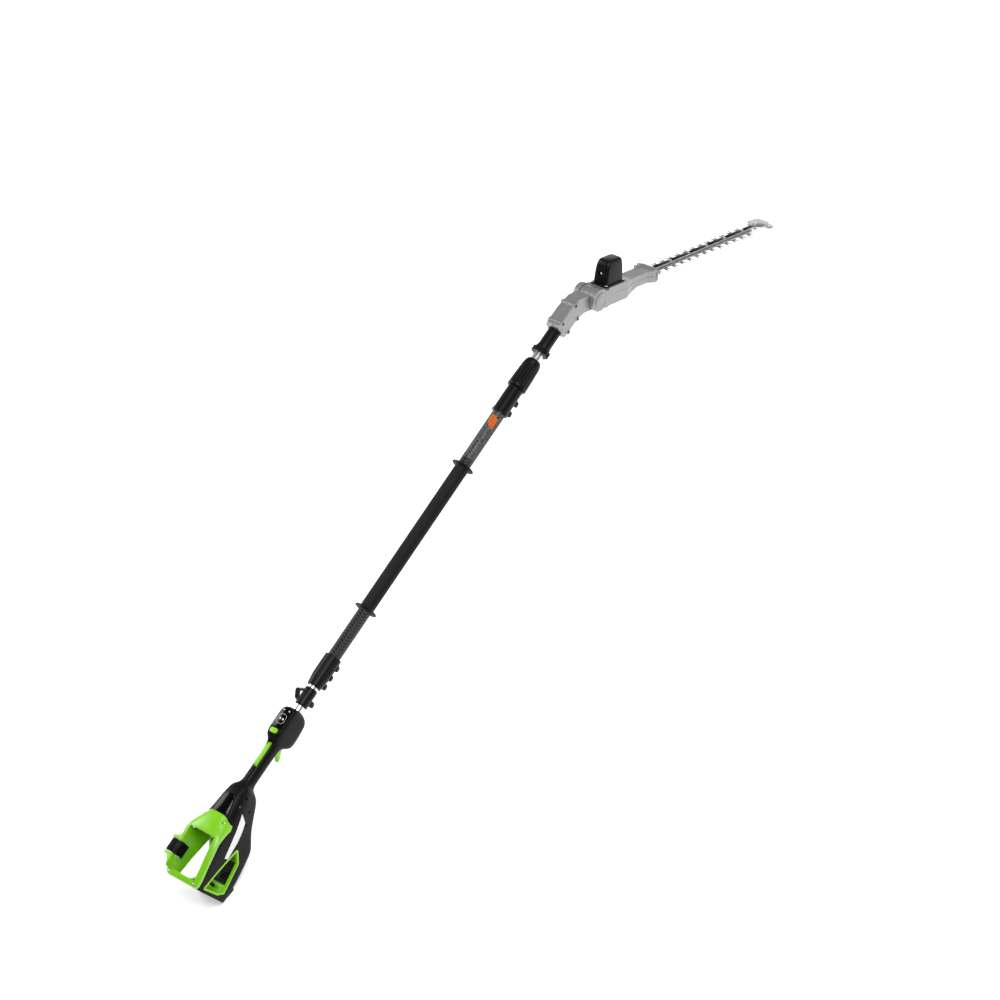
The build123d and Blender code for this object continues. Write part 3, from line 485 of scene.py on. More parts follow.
def smoothed(piece, angle=38):
    """Shades a piece smooth wherever its faces meet at less than an angle."""
    pick(piece)
    bpy.ops.object.shade_smooth_by_angle(angle=math.radians(angle))
    return piece


def copied(piece, name):
    """A copy of a piece with its own mesh."""
    twin = piece.copy()
    twin.data = piece.data.copy()
    twin.name = twin.data.name = name
    bpy.context.scene.collection.objects.link(twin)
    return twin


def from_node(name, matrix, node_name):
    """A copy of a CAD node as a closed mesh, in millimetres of a tool frame."""
    piece = copied(frame["nodes"][node_name], name)
    piece.parent = None
    for key in list(piece.keys()):
        del piece[key]
    piece.data.transform(matrix.inverted())
    piece.data.materials.clear()
    pick(piece)
    edit_mode(True)
    bpy.ops.mesh.select_all(action="SELECT")
    bpy.ops.mesh.remove_doubles(threshold=0.002)
    edit_mode(False)
    return piece


def moulded_round(piece, voxel, rounds, keep=0.3):
    """Runs all of a form's parts together and rounds its edges, as a casting or moulding has them."""
    modified(piece, "REMESH", mode="VOXEL", voxel_size=voxel)
    modified(piece, "SMOOTH", factor=0.5, iterations=rounds)
    modified(piece, "DECIMATE", ratio=keep)
    return smoothed(piece, 50)


def ready(piece, matrix, body, slot, *nodes, finish=None):
    """Moves a finished piece into the part's frame, gives it its finish, parents it to its body, hides its CAD
    nodes.
    """
    piece.data.transform(matrix)
    piece.data.materials.clear()
    piece.data.materials.append(MATERIALS[finish or slot])
    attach(piece, body)
    if nodes:
        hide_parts(*nodes)
    return piece


# ---- Rear housing ---------------------------------------------------------------------------------
# Stations along the housing: x, top, widest level, bottom, half width, squareness above and below.
HOUSING_STATIONS = [
    (-262.6, 18, 0, -19.6, 16.6, 2.4, 2.4), (-263.8, 21, 0, -23, 17.6, 2.7, 2.7),
    (-266.4, 27, 0, -29, 19.5, 3.4, 3.2), (-271, 33.5, 0, -36, 22.5, 4.4, 4.0),
    (-280, 37.4, 0, -42, 24, 5.2, 4.6), (-290, 38, 0, -44, 24, 5.6, 5.0),
    (-315, 38, 0, -47.5, 24, 5.6, 5.0), (-338, 38, 0, -50, 24, 5.4, 4.6),
    (-350, 37, 0, -46, 23.4, 5.0, 4.0), (-357, 32, 0, -37, 21.6, 3.8, 3.2),
    (-364, 24.5, 0, -26, 18.6, 2.8, 2.6), (-374, 20.6, 0, -21, 16.9, 2.2, 2.2),
    (-400, 20, 0, -20, 16.5, 2.1, 2.1), (-478, 20, 0, -20, 16.5, 2.1, 2.1),
    (-490, 20.4, 0, -20.6, 17.2, 2.2, 2.2), (-497, 22.6, 0, -25, 20, 2.5, 2.4),
    (-502, 25.4, -1, -32, 24.6, 2.8, 3.4), (-508, 29, -1, -38, 28.6, 3.0, 5.0),
    (-516, 33, -2, -43.6, 31.4, 2.9, 6.4), (-530, 37, -4, -50.6, 34.6, 2.7, 7.6),
    (-546, 39, -6, -57, 38.2, 2.5, 8.4), (-562, 39.6, -8, -64.6, 42, 2.4, 9),
    (-580, 40, -9, -74, 45.8, 2.3, 10.5), (-594, 40.6, -10, -86, 48.4, 2.3, 12),
    (-606, 40.8, -10, -99, 49.9, 2.4, 14), (-618, 40, -12, -114, 50, 2.8, 15),
    (-632, 38, -14, -120.6, 50, 3.4, 16), (-655, 33, -16, -126.5, 50, 4.5, 16),
    (-700, 22, -30, -138, 50, 6, 16), (-740, 10.5, -40, -141, 50, 7, 16),
    (-770, 2, -50, -141, 50, 7, 16), (-786, -3, -60, -139, 49, 7, 16),
    (-796, -6, -60, -137, 47, 7, 16),
]
HOUSING_COUNT = 72
# Half the width of a cut that goes right through the rear unit.
THROUGH = 70
# The screws on each flank: x, z and the half width there.
HOUSING_SCREWS = [(-528, 12, 31.0), (-556, 22, 39.5), (-548, -22, 36.0), (-580, -34, 44.6), (-600, -76, 49.0),
                  (-640, -112, 50.0)]
BAY_WALL = [(-661, 60), (-648.8, -20.5), (-636.6, -56.5), (-661.6, -100), (-750.8, -121.8), (-769, -95.4),
            (-782.2, -26), (-779, 0), (-778, 60)]
BAY_ROOM = [(-664, 90), (-652, -20), (-640, -56), (-664, -97), (-749, -118), (-766, -94), (-779, -26),
            (-776, 0), (-774, 90)]
WINDOW = [(-648, -57), (-669, -90), (-746, -109), (-759, -90), (-771, -33), (-720, -40)]
WINDOW_LIP = [(-645.6, -51), (-641.6, -58.6), (-666, -94.6), (-748.6, -115), (-763.9, -92.4), (-777, -28.6),
              (-771, -26.8), (-719, -34.8)]


def housing_section(x, top, wide, bottom, half, above, below):
    """A section across the housing whose upper and lower parts have their own squareness."""
    points = []
    for i in range(HOUSING_COUNT):
        angle = 2 * math.pi * i / HOUSING_COUNT
        power = above if math.sin(angle) > 0 else below
        across, up = math.cos(angle), math.sin(angle)
        y = half * math.copysign(abs(across) ** (2 / power), across)
        reach = (top - wide) if up > 0 else (wide - bottom)
        points.append((x, y, wide + reach * math.copysign(abs(up) ** (2 / power), up)))
    return points


def between_stations(stations, x):
    """The values of a row of stations at a place between two of them."""
    near, far = next(pair for pair in zip(stations, stations[1:]) if pair[1][0] <= x <= pair[0][0])
    share = (near[0] - x) / (near[0] - far[0])
    return [a + (b - a) * share for a, b in zip(near[1:], far[1:])]


def housing_top(x, y):
    """The height of the housing's upper skin at a place."""
    top, wide, _, half, above, _ = between_stations(HOUSING_STATIONS, x)
    across = min(abs(y) / half, 1.0)
    return wide + (top - wide) * (1 - across ** above) ** (1 / above)


def housing_shells():
    """The left and right shells: nose, control bulge, grip and body in one form, with its openings."""
    form = lofted("housing_form", [housing_section(*station) for station in HOUSING_STATIONS])
    modified(form, "SUBSURF", levels=1, render_levels=1)
    rear = [(-789, 60), (-788, -2), (-785.5, -28), (-768, -130), (-757, -145), (-840, -145), (-840, 60)]
    seat = [(-596, 90), (-600, 38), (-655, 30.8), (-800, -8), (-800, 90)]
    cut(form, prism("rear", rear, -THROUGH, THROUGH), prism("seat", seat, -THROUGH, THROUGH),
        prism("bay", BAY_WALL, -46.3, 46.3), prism("window", WINDOW_LIP, -THROUGH, THROUGH))
    cut(form, rod("bore", "X", 14.15, -300, -250),
        slab("glass_seat", (-334, -268), (-18.4, 18.4), (35.6, 45)),
        slab("button_seat", (-350, -334.4), (-12.4, 12.4), (29.5, 45)),
        slab("lever_slot", (-445.5, -365), (-6.5, 6.5), (3, 45)),
        slab("trigger_slot", (-405, -347), (-6.6, 6.6), (-70, 1.4)),
        slab("foot_seat", (-760, -716.5), (-44.2, 44.2), (-170, -137.4)),
        slab("latch_seat", (-742, -704), (30, 90), (6, 60)))
    holes = []
    for x, z, side in HOUSING_SCREWS:
        holes.append(rod("hole", "Y", 3.7, -THROUGH, -side + 3.2, (x, z), 20))
        holes.append(rod("hole", "Y", 3.7, side - 1.0, THROUGH, (x, z), 20))
    cut(form, joined(*holes))
    left = copied(form, "shell_left")
    cut(left, slab("right_side", (-900, -200), (-90, 0.0), (-200, 100)))
    cut(form, slab("left_side", (-900, -200), (0.0, 90), (-200, 100)))
    form.name = form.data.name = "shell_right"
    for shell, node_name in ((left, "housing_left"), (form, "housing_right")):
        eased(shell, 0.7, 2, 50)
        ready(shell, POLE, "handle", "black_shell", node_name)


def nameplates():
    """A blank plate let onto each flank, following the skin with rounded edges."""
    outline = [(-566, 4), (-577, -23), (-632, -38), (-678, -43), (-682, -30), (-600, -3)]
    skins = []
    for offset in (0.45, -0.5):
        grown = [housing_section(x, top + offset, wide, bottom - offset, half + offset, above, below)
                 for x, top, wide, bottom, half, above, below in HOUSING_STATIONS]
        skins.append(modified(lofted("skin", grown), "SUBSURF", levels=1, render_levels=1))
    plates = joined(prism("plate", outline, -60, -30), prism("plate", outline, 30, 60), name="flank_plates")
    combined(plates, skins[0], "INTERSECT")
    cut(plates, skins[1])
    ready(eased(plates, 0.25, 1, 50), POLE, "handle", "plate_silver", "nameplates")


def potted_end():
    """The round potted end of the controller on its slim arm and post."""
    pod = rod("pod", "Y", 11.5, -28, 4, (-710, -80), 48)
    arm = slab("arm", (-746, -710), (-10, 4), (-83, -77))
    post = prism("post", [(-738, -115), (-746, -117), (-746, -77), (-738, -77)], -10, 4)
    ready(eased(joined(pod, arm, post), 0.8, 2, 50), POLE, "handle", "pod_black", "controller_pod")


# ---- Battery cradle -------------------------------------------------------------------------------
# Stations along the ring: x, crown height, edge height, half width.
RING_STATIONS = [(-596, 41.2, 13, 41.5), (-600, 43.6, 14, 43), (-612, 47.2, 20, 47.6), (-630, 50.4, 32, 52),
                 (-648, 52.2, 40, 55.4), (-668, 50.2, 43.4, 56.8), (-720, 35.4, 29.6, 57),
                 (-768, 20.4, 14.8, 57), (-781, 16, 10.8, 55), (-787, 13.6, 9, 51.6), (-789.8, 12, 8, 46.5)]
RING_ACROSS, RING_DEPTH = 16, 14
RING_SCREWS = [(-614, 34), (-614, -34), (-782, 44), (-782, -44)]


def ring_section(x, crown, edge, half):
    """An arched section: a crowned top, a short skirt and an underside that follows the top."""
    top, under = [], []
    for i in range(RING_ACROSS + 1):
        share = -1 + 2 * i / RING_ACROSS
        height = crown - (crown - edge) * abs(share) ** 3
        top.append((x, half * share, height - 2.2 * abs(share) ** 16))
        under.append((x, (half - 1.5) * share, height - RING_DEPTH))
    return top + under[::-1]


def rounded_outline(low, high, radius, steps=5):
    """A rectangle with rounded corners, drawn round from its lower left."""
    corners = [(low[0], low[1], 180), (high[0], low[1], 270), (high[0], high[1], 0), (low[0], high[1], 90)]
    points = []
    for x, y, turn in corners:
        centre_x = x + math.copysign(radius, low[0] + high[0] - 2 * x)
        centre_y = y + math.copysign(radius, low[1] + high[1] - 2 * y)
        for i in range(steps + 1):
            angle = math.radians(turn + 90 * i / steps)
            points.append((centre_x + radius * math.cos(angle), centre_y + radius * math.sin(angle)))
    return points


def ring_top(x, y):
    """The height of the ring's upper skin at a place."""
    crown, edge, half = between_stations(RING_STATIONS, x)
    return crown - (crown - edge) * min(abs(y) / half, 1.0) ** 3


def battery_cradle():
    """The green ring with its bay walls, window lips and the two horns beside the latch."""
    ring = lofted("cradle", [ring_section(*station) for station in RING_STATIONS])
    wall_outline = [(-661, 42), (-648.8, -20.5), (-636.6, -56.5), (-661.6, -100), (-750.8, -121.8),
                    (-769, -95.4), (-782.2, -26), (-779, 4)]
    fused(ring, prism("walls", wall_outline, -46, 46), prism("lips", WINDOW_LIP, -50.6, 50.6))
    horns = [[(-668, 50), (-686, 58), (-693, 65), (-697.4, 79.3), (-704.2, 79.3), (-704.2, 66), (-704.2, 50)],
             [(-778, 50), (-760, 58), (-753, 65), (-748.6, 79.3), (-741.8, 79.3), (-741.8, 66), (-741.8, 50)]]
    for outline, low, high in zip(horns, (8, 4), (35, 31)):
        fused(ring, eased(prism("horn", outline, low, high, "Z"), 1.6, 3))
    cut(ring, prism("room", BAY_ROOM, -43, 43), prism("window", WINDOW, -THROUGH, THROUGH),
        slab("latch_room", (-741.8, -704.2), (30, 90), (6, 60)))
    seats = [rod("seat", "Z", 4.2, ring_top(x, y) - 2.2, 60, (x, y), 24) for x, y in RING_SCREWS]
    cut(ring, joined(*seats))
    eased(ring, 1.1, 3, 30)
    ready(ring, POLE, "handle", "green_shell", "battery_frame")


def cradle_screws():
    """The four bright screws of the ring, level with its skin."""
    group = [pan_head((x, y, ring_top(x, y) - 2.0), "Z", 3.7, 2.2) for x, y in RING_SCREWS]
    ready(joined(*group, name="cradle_screws"), POLE, "handle", "screw_steel", "frame_screws")


TURN_FROM_X = {"X": Matrix.Identity(4), "Y": Matrix.Rotation(math.pi / 2, 4, "Z"),
               "Z": Matrix.Rotation(-math.pi / 2, 4, "Y")}


def pan_head(place, axis, radius, height, sign=1, shank=4.0):
    """A domed screw head with a six-sided recess, its seat at a place and its top along the axis."""
    neck = 0.55 * radius
    profile = [(-shank, neck), (0.0, neck), (0.0, radius), (0.5 * height, radius),
               (0.8 * height, 0.86 * radius), (height, neck)]
    head = turned("head", profile, 24)
    cut(head, rod("recess", "X", radius * 0.42, height * 0.45, height + 1, count=6))
    turn = TURN_FROM_X[axis]
    if sign < 0:
        turn = turn @ Matrix.Rotation(math.pi, 4, "Z")
    head.data.transform(Matrix.Translation(place) @ turn)
    return smoothed(head)


def shoulder_cap():
    """The gloss cover on the shoulder, rounded in front, following the skin under it."""
    stations = [(-536.5, 5.0), (-538.5, 11.0), (-543, 16.5), (-552, 21.0), (-570, 25.6), (-596, 30.0)]
    shares = [-1 + 2 * i / 12 for i in range(13)]
    sections = []
    for x, half in stations:
        top = [(x, half * s, housing_top(x, half * s) + 0.9 * (1 - s ** 8) + 0.3) for s in shares]
        under = [(x, half * s * 0.98, housing_top(x, half * s) - 2.5) for s in shares]
        sections.append(top + under[::-1])
    cap = eased(lofted("shoulder_cover", sections), 0.5, 2, 40)
    ready(cap, POLE, "handle", "gloss_black", "cap_window")


def latch_block():
    """The black press block of the battery catch, with its ridge."""
    outline = [(34, 8), (40, 24), (47, 31.6), (53, 32.2), (54.5, 29.6), (58, 29.6), (60, 33), (74, 34),
               (77.6, 31), (76, 27), (61, 25.6), (60, 8)]
    block = eased(prism("latch_block", outline, -740.6, -705.4, "X"), 1.3, 3)
    ready(block, POLE, "latch", "latch_black", "battery_latch")


# ---- Controls -------------------------------------------------------------------------------------
PANEL_Z, MARK_THICK = 38.0, 0.12
HINGE_PIN_HOLE = 2.06


def display():
    """The gloss display with its divider, and its plain marks."""
    outline = [(-332.6, -15), (-330, -17.4), (-286, -17.4), (-276.5, -14.4), (-271.2, -8), (-269.8, 0),
               (-271.2, 8), (-276.5, 14.4), (-286, 17.4), (-330, 17.4), (-332.6, 15)]
    glass = prism("display_glass", outline, PANEL_Z - 2.2, PANEL_Z - 0.1, "Z")
    eased(glass, 0.5, 2)
    ready(glass, POLE, "handle", "gloss_black", "panel_glass")
    level = PANEL_Z - MARK_THICK
    top = level + MARK_THICK
    marks = [prism("mark", [(-278, 8.6), (-282.4, 11.4), (-282.4, 5.8)], level, top, "Z"),
             prism("mark", [(-278, -8.6), (-282.4, -5.8), (-282.4, -11.4)], level, top, "Z")]
    outer = prism("mark", rounded_outline((-320, -12), (-292, 12), 8), level, top, "Z")
    inner = prism("hole", rounded_outline((-319.4, -11.4), (-292.6, 11.4), 7.4), level - 1, level + 1, "Z")
    marks.append(cut(outer, inner))
    for y in (4.6, -4.6):
        marks.append(rod("mark", "Z", 2.6, level, top, (-306, y), 24))
    ready(joined(*marks, name="display_marks"), POLE, "handle", "gloss_black", finish="mark_white")
    divider = slab("display_divider", (-334.2, -333.0), (-17.6, 17.6), (PANEL_Z - 2.4, PANEL_Z + 0.2))
    ready(eased(divider, 0.25), POLE, "handle", "black_shell")


def start_button():
    """The soft-cornered power button, crowned, on its plunger."""
    low, high = PANEL_Z - 0.6, PANEL_Z + 2.0
    sections = []
    for level, inset in ((low - 3, 0.4), (low, 0.0), (high - 1.0, 0.0), (high - 0.3, 1.2), (high, 3.0)):
        near, far = (-349 + inset, -11.5 + inset), (-335 - inset, 11.5 - inset)
        outline = rounded_outline(near, far, 5.2 - inset * 0.6)
        sections.append([(a, b, level) for a, b in outline])
    button = smoothed(lofted("start_button", sections), 30)
    ready(button, POLE, "button", "green_control", "power_button")


def safety_lever():
    """The long thumb lever on the grip, gently crowned along its length."""
    outline = [(-368, 14.6), (-371, 19.4), (-376, 22.2), (-384, 23.2), (-410, 23.4), (-434, 22.6),
               (-441, 20.6), (-444, 16.6), (-443.6, 12.4), (-436, 10), (-376, 8.4), (-369, 10.6)]
    lever = prism("safety_lever", outline, -5.2, 5.2)
    cut(lever, rod("pin_hole", "Y", HINGE_PIN_HOLE, -9, 9, (-374, 14), 24))
    eased(lever, 1.2, 3)
    ready(lever, POLE, "lock", "green_control", "lock_lever")


def speed_trigger():
    """The hooked finger trigger."""
    outline = [(-352, -10), (-352.4, -22), (-358, -28.6), (-367, -34.4), (-376, -42), (-383, -48.4),
               (-389, -51.6), (-394, -51), (-395.6, -47.6), (-392, -43.6), (-388.6, -39), (-386, -33),
               (-385, -24), (-386, -10)]
    trigger = prism("speed_trigger", outline, -5.8, 5.8)
    cut(trigger, rod("pin_hole", "Y", HINGE_PIN_HOLE, -9, 9, (-358, -14), 24))
    eased(trigger, 1.4, 3)
    ready(trigger, POLE, "trigger", "green_control", "trigger")


def return_springs():
    """The coil springs of the lever and the trigger, copied from their CAD nodes."""
    for name, node_name, joint, seat, keep in (
            ("lever_spring", "lock_spring", "lock_press", (-428, 0, 0.6), 0.38),
            ("finger_spring", "trigger_spring", "trigger_pull", (-379, 0, -4.0), 0.24)):
        piece = from_node(name, POLE, node_name)
        ready(piece, POLE, "handle", node_slots()[node_name], node_name)
        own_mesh(piece)


# ---- Pole pieces ----------------------------------------------------------------------------------
def rounded_pole_parts():
    """The clamped mouldings of the pole with rounded edges."""
    for name, node_name, voxel in (("strap_ring_clamp", "strap_clamp", 0.6),
                                   ("fixed_collar", "lower_collar", 0.75),
                                   ("lock_collar", "upper_collar", 0.75),
                                   ("scalloped_sleeve", "coupling_sleeve", 0.7)):
        piece = from_node(name, POLE, node_name)
        moulded_round(piece, voxel, 3, 0.22)
        body = "extension" if node_name == "coupling_sleeve" else "handle"
        ready(piece, POLE, body, "collar_black", node_name)


KNOB_FLUTES, GRIP_RIBS = 12, 14


def twist_lock_knob():
    """The fluted knob, its flutes running out towards the nose."""
    def fluted(depth):
        return lambda angle: 1 - depth * max(0.0, math.cos(KNOB_FLUTES * angle)) ** 3
    stations = [(790, 26.4, 0.0), (791.5, 27.5, 0.0), (797, 27.5, 0.0), (800, 27.3, 0.07), (830, 26.3, 0.08),
                (860, 24.8, 0.07), (866, 24.4, 0.0), (872, 23.2, 0.0), (878, 21.4, 0.0), (882, 18.6, 0.0),
                (883, 14.5, 0.0), (880, 14.4, 0.0)]
    bore = [(852, 14.4), (850, 18.6), (814, 18.6), (813, 21.4), (790, 21.4)]
    sections = [ring_points(x, radius, 144, fluted(depth)) for x, radius, depth in stations]
    sections += [ring_points(x, radius, 144) for x, radius in bore]
    knob = smoothed(closed_wall(lofted("twist_lock_knob", sections)), 45)
    ready(knob, POLE, "knob", "collar_black", "twist_knob")


def closed_wall(piece):
    """Takes the caps off the first and last rings of a loft and bridges their rims into one wall."""
    pick(piece)
    edit_mode(True)
    bpy.ops.mesh.select_all(action="DESELECT")
    form = bmesh.from_edit_mesh(piece.data)
    caps = [face for face in form.faces if len(face.verts) > 20]
    for face in caps:
        face.select = True
    bmesh.update_edit_mesh(piece.data)
    bpy.ops.mesh.delete(type="ONLY_FACE")
    bpy.ops.mesh.select_all(action="DESELECT")
    bpy.ops.mesh.select_mode(type="EDGE")
    form = bmesh.from_edit_mesh(piece.data)
    for edge in form.edges:
        if len(edge.link_faces) == 1:
            edge.select = True
    bmesh.update_edit_mesh(piece.data)
    bpy.ops.mesh.bridge_edge_loops()
    bpy.ops.mesh.select_mode(type="VERT")
    edit_mode(False)
    return recalculated(piece)


def ribbed_grip():
    """The rubber sleeve: soft ribs along it, and a rounded flange at each end."""
    def ribbed(depth):
        return lambda angle: 1 - depth * (0.5 + 0.5 * math.cos(GRIP_RIBS * angle)) ** 5
    flange = [(0.4, 29.6, 0), (1.4, 31.6, 0), (2.5, 32.4, 0), (3.6, 31.6, 0), (4.6, 29.6, 0)]
    stations = [(58, 18.05, 0), (58, 20.4, 0)] + [(58 + x, radius, depth) for x, radius, depth in flange]
    stations += [(63, 22, 0), (65, 20.2, 0), (69, 19.7, 0), (73, 19.7, 0.07)]
    stations += [(515, 19.7, 0.07), (519, 19.7, 0), (523, 20.2, 0), (525, 22, 0)]
    stations += [(525 + x, radius, depth) for x, radius, depth in flange] + [(530, 20.4, 0), (530, 18.05, 0)]
    sections = [ring_points(x, radius, 128, ribbed(depth)) for x, radius, depth in stations]
    grip = smoothed(closed_wall(lofted("ribbed_grip", sections)), 40)
    ready(grip, POLE, "handle", "grip_rubber", "grip_sleeve")


def pole_screws():
    """The clamp screws of the collars and of the strap clamp."""
    # These screws take the dark grey colour, painted shade of the holes they sit in.
    for name, node_name, places in (("fixed_collar_screws", "lower_collar_screws", (-165, -137, -107)),
                                    ("lock_collar_screws", "upper_collar_screws", (727, 760))):
        group = [pan_head((x, -8.0, -33), "Y", 4.7, 3.4, sign=-1, shank=15) for x in places]
        ready(joined(*group, name=name), POLE, "handle", "screw_steel", node_name, finish="screw_painted_shade")
    screw = pan_head((-224, -9.0, -28), "Y", 4.7, 3.0, sign=-1, shank=17)
    screw.name = "strap_screw"
    ready(screw, POLE, "handle", "screw_steel", "strap_clamp_screw", finish="screw_painted_shade")


LABEL_INSIDE, LABEL_OUTSIDE = 18.2, 18.42


def label_bars():
    """Plain coloured bars at the upper end of the label."""
    bars = []
    for i, (start, end) in enumerate(((652, 686), (656, 690), (662, 692))):
        low, high = math.radians(30 + i * 24), math.radians(50 + i * 24)
        arc = [low + (high - low) * k / 6 for k in range(7)]
        outline = [(-LABEL_OUTSIDE * math.cos(a), LABEL_OUTSIDE * math.sin(a)) for a in arc]
        outline += [(-LABEL_INSIDE * math.cos(a), LABEL_INSIDE * math.sin(a)) for a in reversed(arc)]
        bars.append(prism("bar", outline, start, end, "X"))
    ready(joined(*bars, name="label_bars"), POLE, "handle", "label_film", finish="label_orange")


# ---- Neck and head --------------------------------------------------------------------------------
# Steps of the tilt on each side of the pose at rest, and the angle of one step.
INDEX_UP, INDEX_DOWN, INDEX_STEP = 6, 4, 13.0


def index_hole(step):
    """The hole in the elbow's knuckle for the index pin at one step of the tilt, in the pole frame."""
    hole = rod("index_hole", "X", 3.7, 22, 36, count=20)
    turn = Matrix.Rotation(math.radians(step * INDEX_STEP), 4, "Y")
    hole.data.transform(POLE.inverted() @ HEAD @ turn)
    return hole


def elbow():
    """The cast elbow in two halves, with its screw bosses."""
    for name, node_name in (("elbow_left", "neck_left"), ("elbow_right", "neck_right")):
        piece = from_node(name, POLE, node_name)
        moulded_round(piece, 0.85, 4, 0.25)
        cut(piece, fused(*[index_hole(step) for step in range(-INDEX_UP, INDEX_DOWN + 1)]))
        ready(piece, POLE, "extension", "cast_grey", node_name)
    places = [(1003, 19), (1066, 16), (1050, -23), (1004, -22)]
    group = [pan_head((x, -24.3, z), "Y", 4.3, 1.6, sign=-1, shank=10) for x, z in places]
    screws = joined(*group, name="elbow_screws")
    # The elbow screws take the dark grey colour, painted shade of the holes they sit in.
    ready(screws, POLE, "extension", "screw_steel", "neck_screws", finish="screw_painted_shade")


def head_casting():
    """The arm casting with its pockets and bosses, its edges rounded as cast."""
    for name, node_name in (("arm_upper", "gearcase_upper"), ("arm_lower", "gearcase_lower")):
        piece = from_node(name, HEAD, node_name)
        if node_name == "gearcase_upper":
            lugs = [rod("lug", "Z", 5.0, 12, 21.5, (u, v), 24) for u, v in ((226, 22.5), (243, 25.5))]
            lugs.append(rod("lug", "Z", 5.5, 12, 20, (206, -19), 24))
        else:
            lugs = [rod("lug", "Z", 9.0, -33.0, -24, (114, 0), 24)]
        piece = joined(piece, *lugs)
        moulded_round(piece, 0.9, 4, 0.25)
        ready(piece, HEAD, "head", "cast_grey", node_name)


# Where the cheeks end on each side of the pivot's middle.
CHEEK_FACE = 36.9


def cheek_discs():
    """The raised round caps at the ends of the pivot."""
    profile = [(0, 23.4), (1.2, 23.4), (2.4, 22.4), (3.2, 20.4), (3.35, 17.8), (2.5, 16.6), (2.2, 15.4),
               (2.9, 13.6), (3.3, 8.0), (3.4, 0.2)]
    discs = []
    for side in (1, -1):
        disc = turned("disc", profile, 72)
        place = Matrix.Translation((0, side * CHEEK_FACE, 0))
        disc.data.transform(place @ Matrix.Rotation(side * math.pi / 2, 4, "Z"))
        discs.append(recalculated(disc))
    ready(smoothed(joined(*discs, name="cheek_discs"), 35), HEAD, "head", "cast_grey", "cheek_caps")


def motor_hood():
    """The tapered hood over the motor, domed on top, with vents and a screw on its rear face."""
    # Each station: height, middle along the blade, length, width and corner radius.
    stations = [(27, 75, 71, 49, 6), (33, 75, 70.6, 48.8, 6.6), (48, 75, 69.6, 48, 7),
                (62, 75.2, 68, 47, 7.6), (74, 75.8, 65.6, 45.6, 8), (83, 76.6, 62.4, 43.6, 8.6),
                (88.6, 77.2, 59, 41, 9), (91.6, 77.8, 53.6, 36.6, 9), (92.8, 78, 44, 28, 8)]
    sections = []
    for w, u, length, width, corner in stations:
        low, high = (u - length / 2, -width / 2), (u + length / 2, width / 2)
        outline = rounded_outline(low, high, corner, 6)
        sections.append([(a, b, w) for a, b in outline])
    hood = lofted("motor_hood", sections)
    vents = []
    for w in (74, 67):
        for i in range(4):
            v = -14.4 + i * 9.6
            vents.append(slab("vent", (30, 47), (v - 3.0, v + 3.0), (w - 2.0, w + 2.0)))
    cut(hood, joined(*vents))
    cut(hood, slab("screw_seat", (30, 44.4), (-8, 8), (49, 61)))
    ready(eased(hood, 0.8, 2, 40), HEAD, "head", "cover_black", "motor_cover")
    plate = prism("motor_flange", rounded_outline((33, -28), (115, 28), 5), 22, 27, "Z")
    ready(eased(plate, 0.9, 2), HEAD, "head", "cover_black", "motor_plate")
    group = [pan_head((u, v, 27), "Z", 3.8, 2.4) for u, v in ((38, 23), (38, -23), (110, 23), (110, -23))]
    group.append(pan_head((44.4, 0, 55), "X", 3.6, 2.4, sign=-1, shank=1))
    ready(joined(*group, name="hood_screws"), HEAD, "head", "screw_steel", "cover_screws")


# ---- Blades ---------------------------------------------------------------------------------------
BLADE_START, BLADE_PITCH, BLADE_TEETH = 262.0, 35.0, 13
BLADE_HALF, TOOTH_TIP, BLADE_THICK = 12.5, 31.6, 2.4
RAIL_TOP, RAIL_END, NUT_RADIUS = 8.0, 770.0, 5.4
BOLTS = [BLADE_START + 8 + i * 84 for i in range(6)] + [RAIL_END - 14]


def tooth(middle, lean):
    """One slender hooked tooth, from its broad root to its narrow tip."""
    return [(middle - 6.4, BLADE_HALF), (middle - 3.6 + lean * 0.1, BLADE_HALF + 2.6),
            (middle - 2.4 + lean * 0.5, BLADE_HALF + 12), (middle - 1.6 + lean, TOOTH_TIP - 1.4),
            (middle + lean, TOOTH_TIP), (middle + 1.6 + lean, TOOTH_TIP - 1.4),
            (middle + 2.6 + lean * 0.5, BLADE_HALF + 12), (middle + 4.2 + lean * 0.1, BLADE_HALF + 2.6),
            (middle + 7.0, BLADE_HALF)]


def blade(name, low, lean):
    """A toothed blade: the bar with teeth on both edges and its bolt slots, its edges broken."""
    left = [(250, BLADE_HALF - 1.5)]
    for i in range(BLADE_TEETH):
        left += tooth(BLADE_START + (i + 0.5) * BLADE_PITCH, lean)
    end = BLADE_START + BLADE_TEETH * BLADE_PITCH + 16
    left += [(end - 8, BLADE_HALF), (end, BLADE_HALF - 8)]
    outline = left + [(u, -v) for u, v in reversed(left)]
    piece = prism(name, outline, low, low + BLADE_THICK, "Z")
    slots = []
    for u in BOLTS[:-1]:
        outline = rounded_outline((u - 12, -3.3), (u + 12, 3.3), 3.2)
        slots.append(prism("slot", outline, low - 1, low + 4, "Z"))
    cut(piece, joined(*slots))
    return eased(piece, 0.8, 1)


def drive_tail(low):
    """The flat tail of a blade with the loop that its eccentric turns in."""
    outline = [(66.8, 24), (132.2, 24), (137.2, 11), (250, 11), (250, -11), (137.2, -11), (132.2, -24),
               (66.8, -24)]
    loop = prism("loop", rounded_outline((71.8, -20.2), (128.2, 20.2), 9), low - 1, low + 4, "Z")
    return cut(prism("tail", outline, low, low + BLADE_THICK, "Z"), loop)


def blades():
    """Both blades, each riding on its own slide."""
    for name, node_name, body, low, lean in (("cutter_upper", "upper_blade", "blade_a", 0.1, 5.0),
                                             ("cutter_lower", "lower_blade", "blade_b", -2.5, -6.0)):
        piece = joined(blade(name, low, lean), drive_tail(low))
        smoothed(recalculated(piece), 30)
        ready(piece, HEAD, body, "blade_steel", node_name)


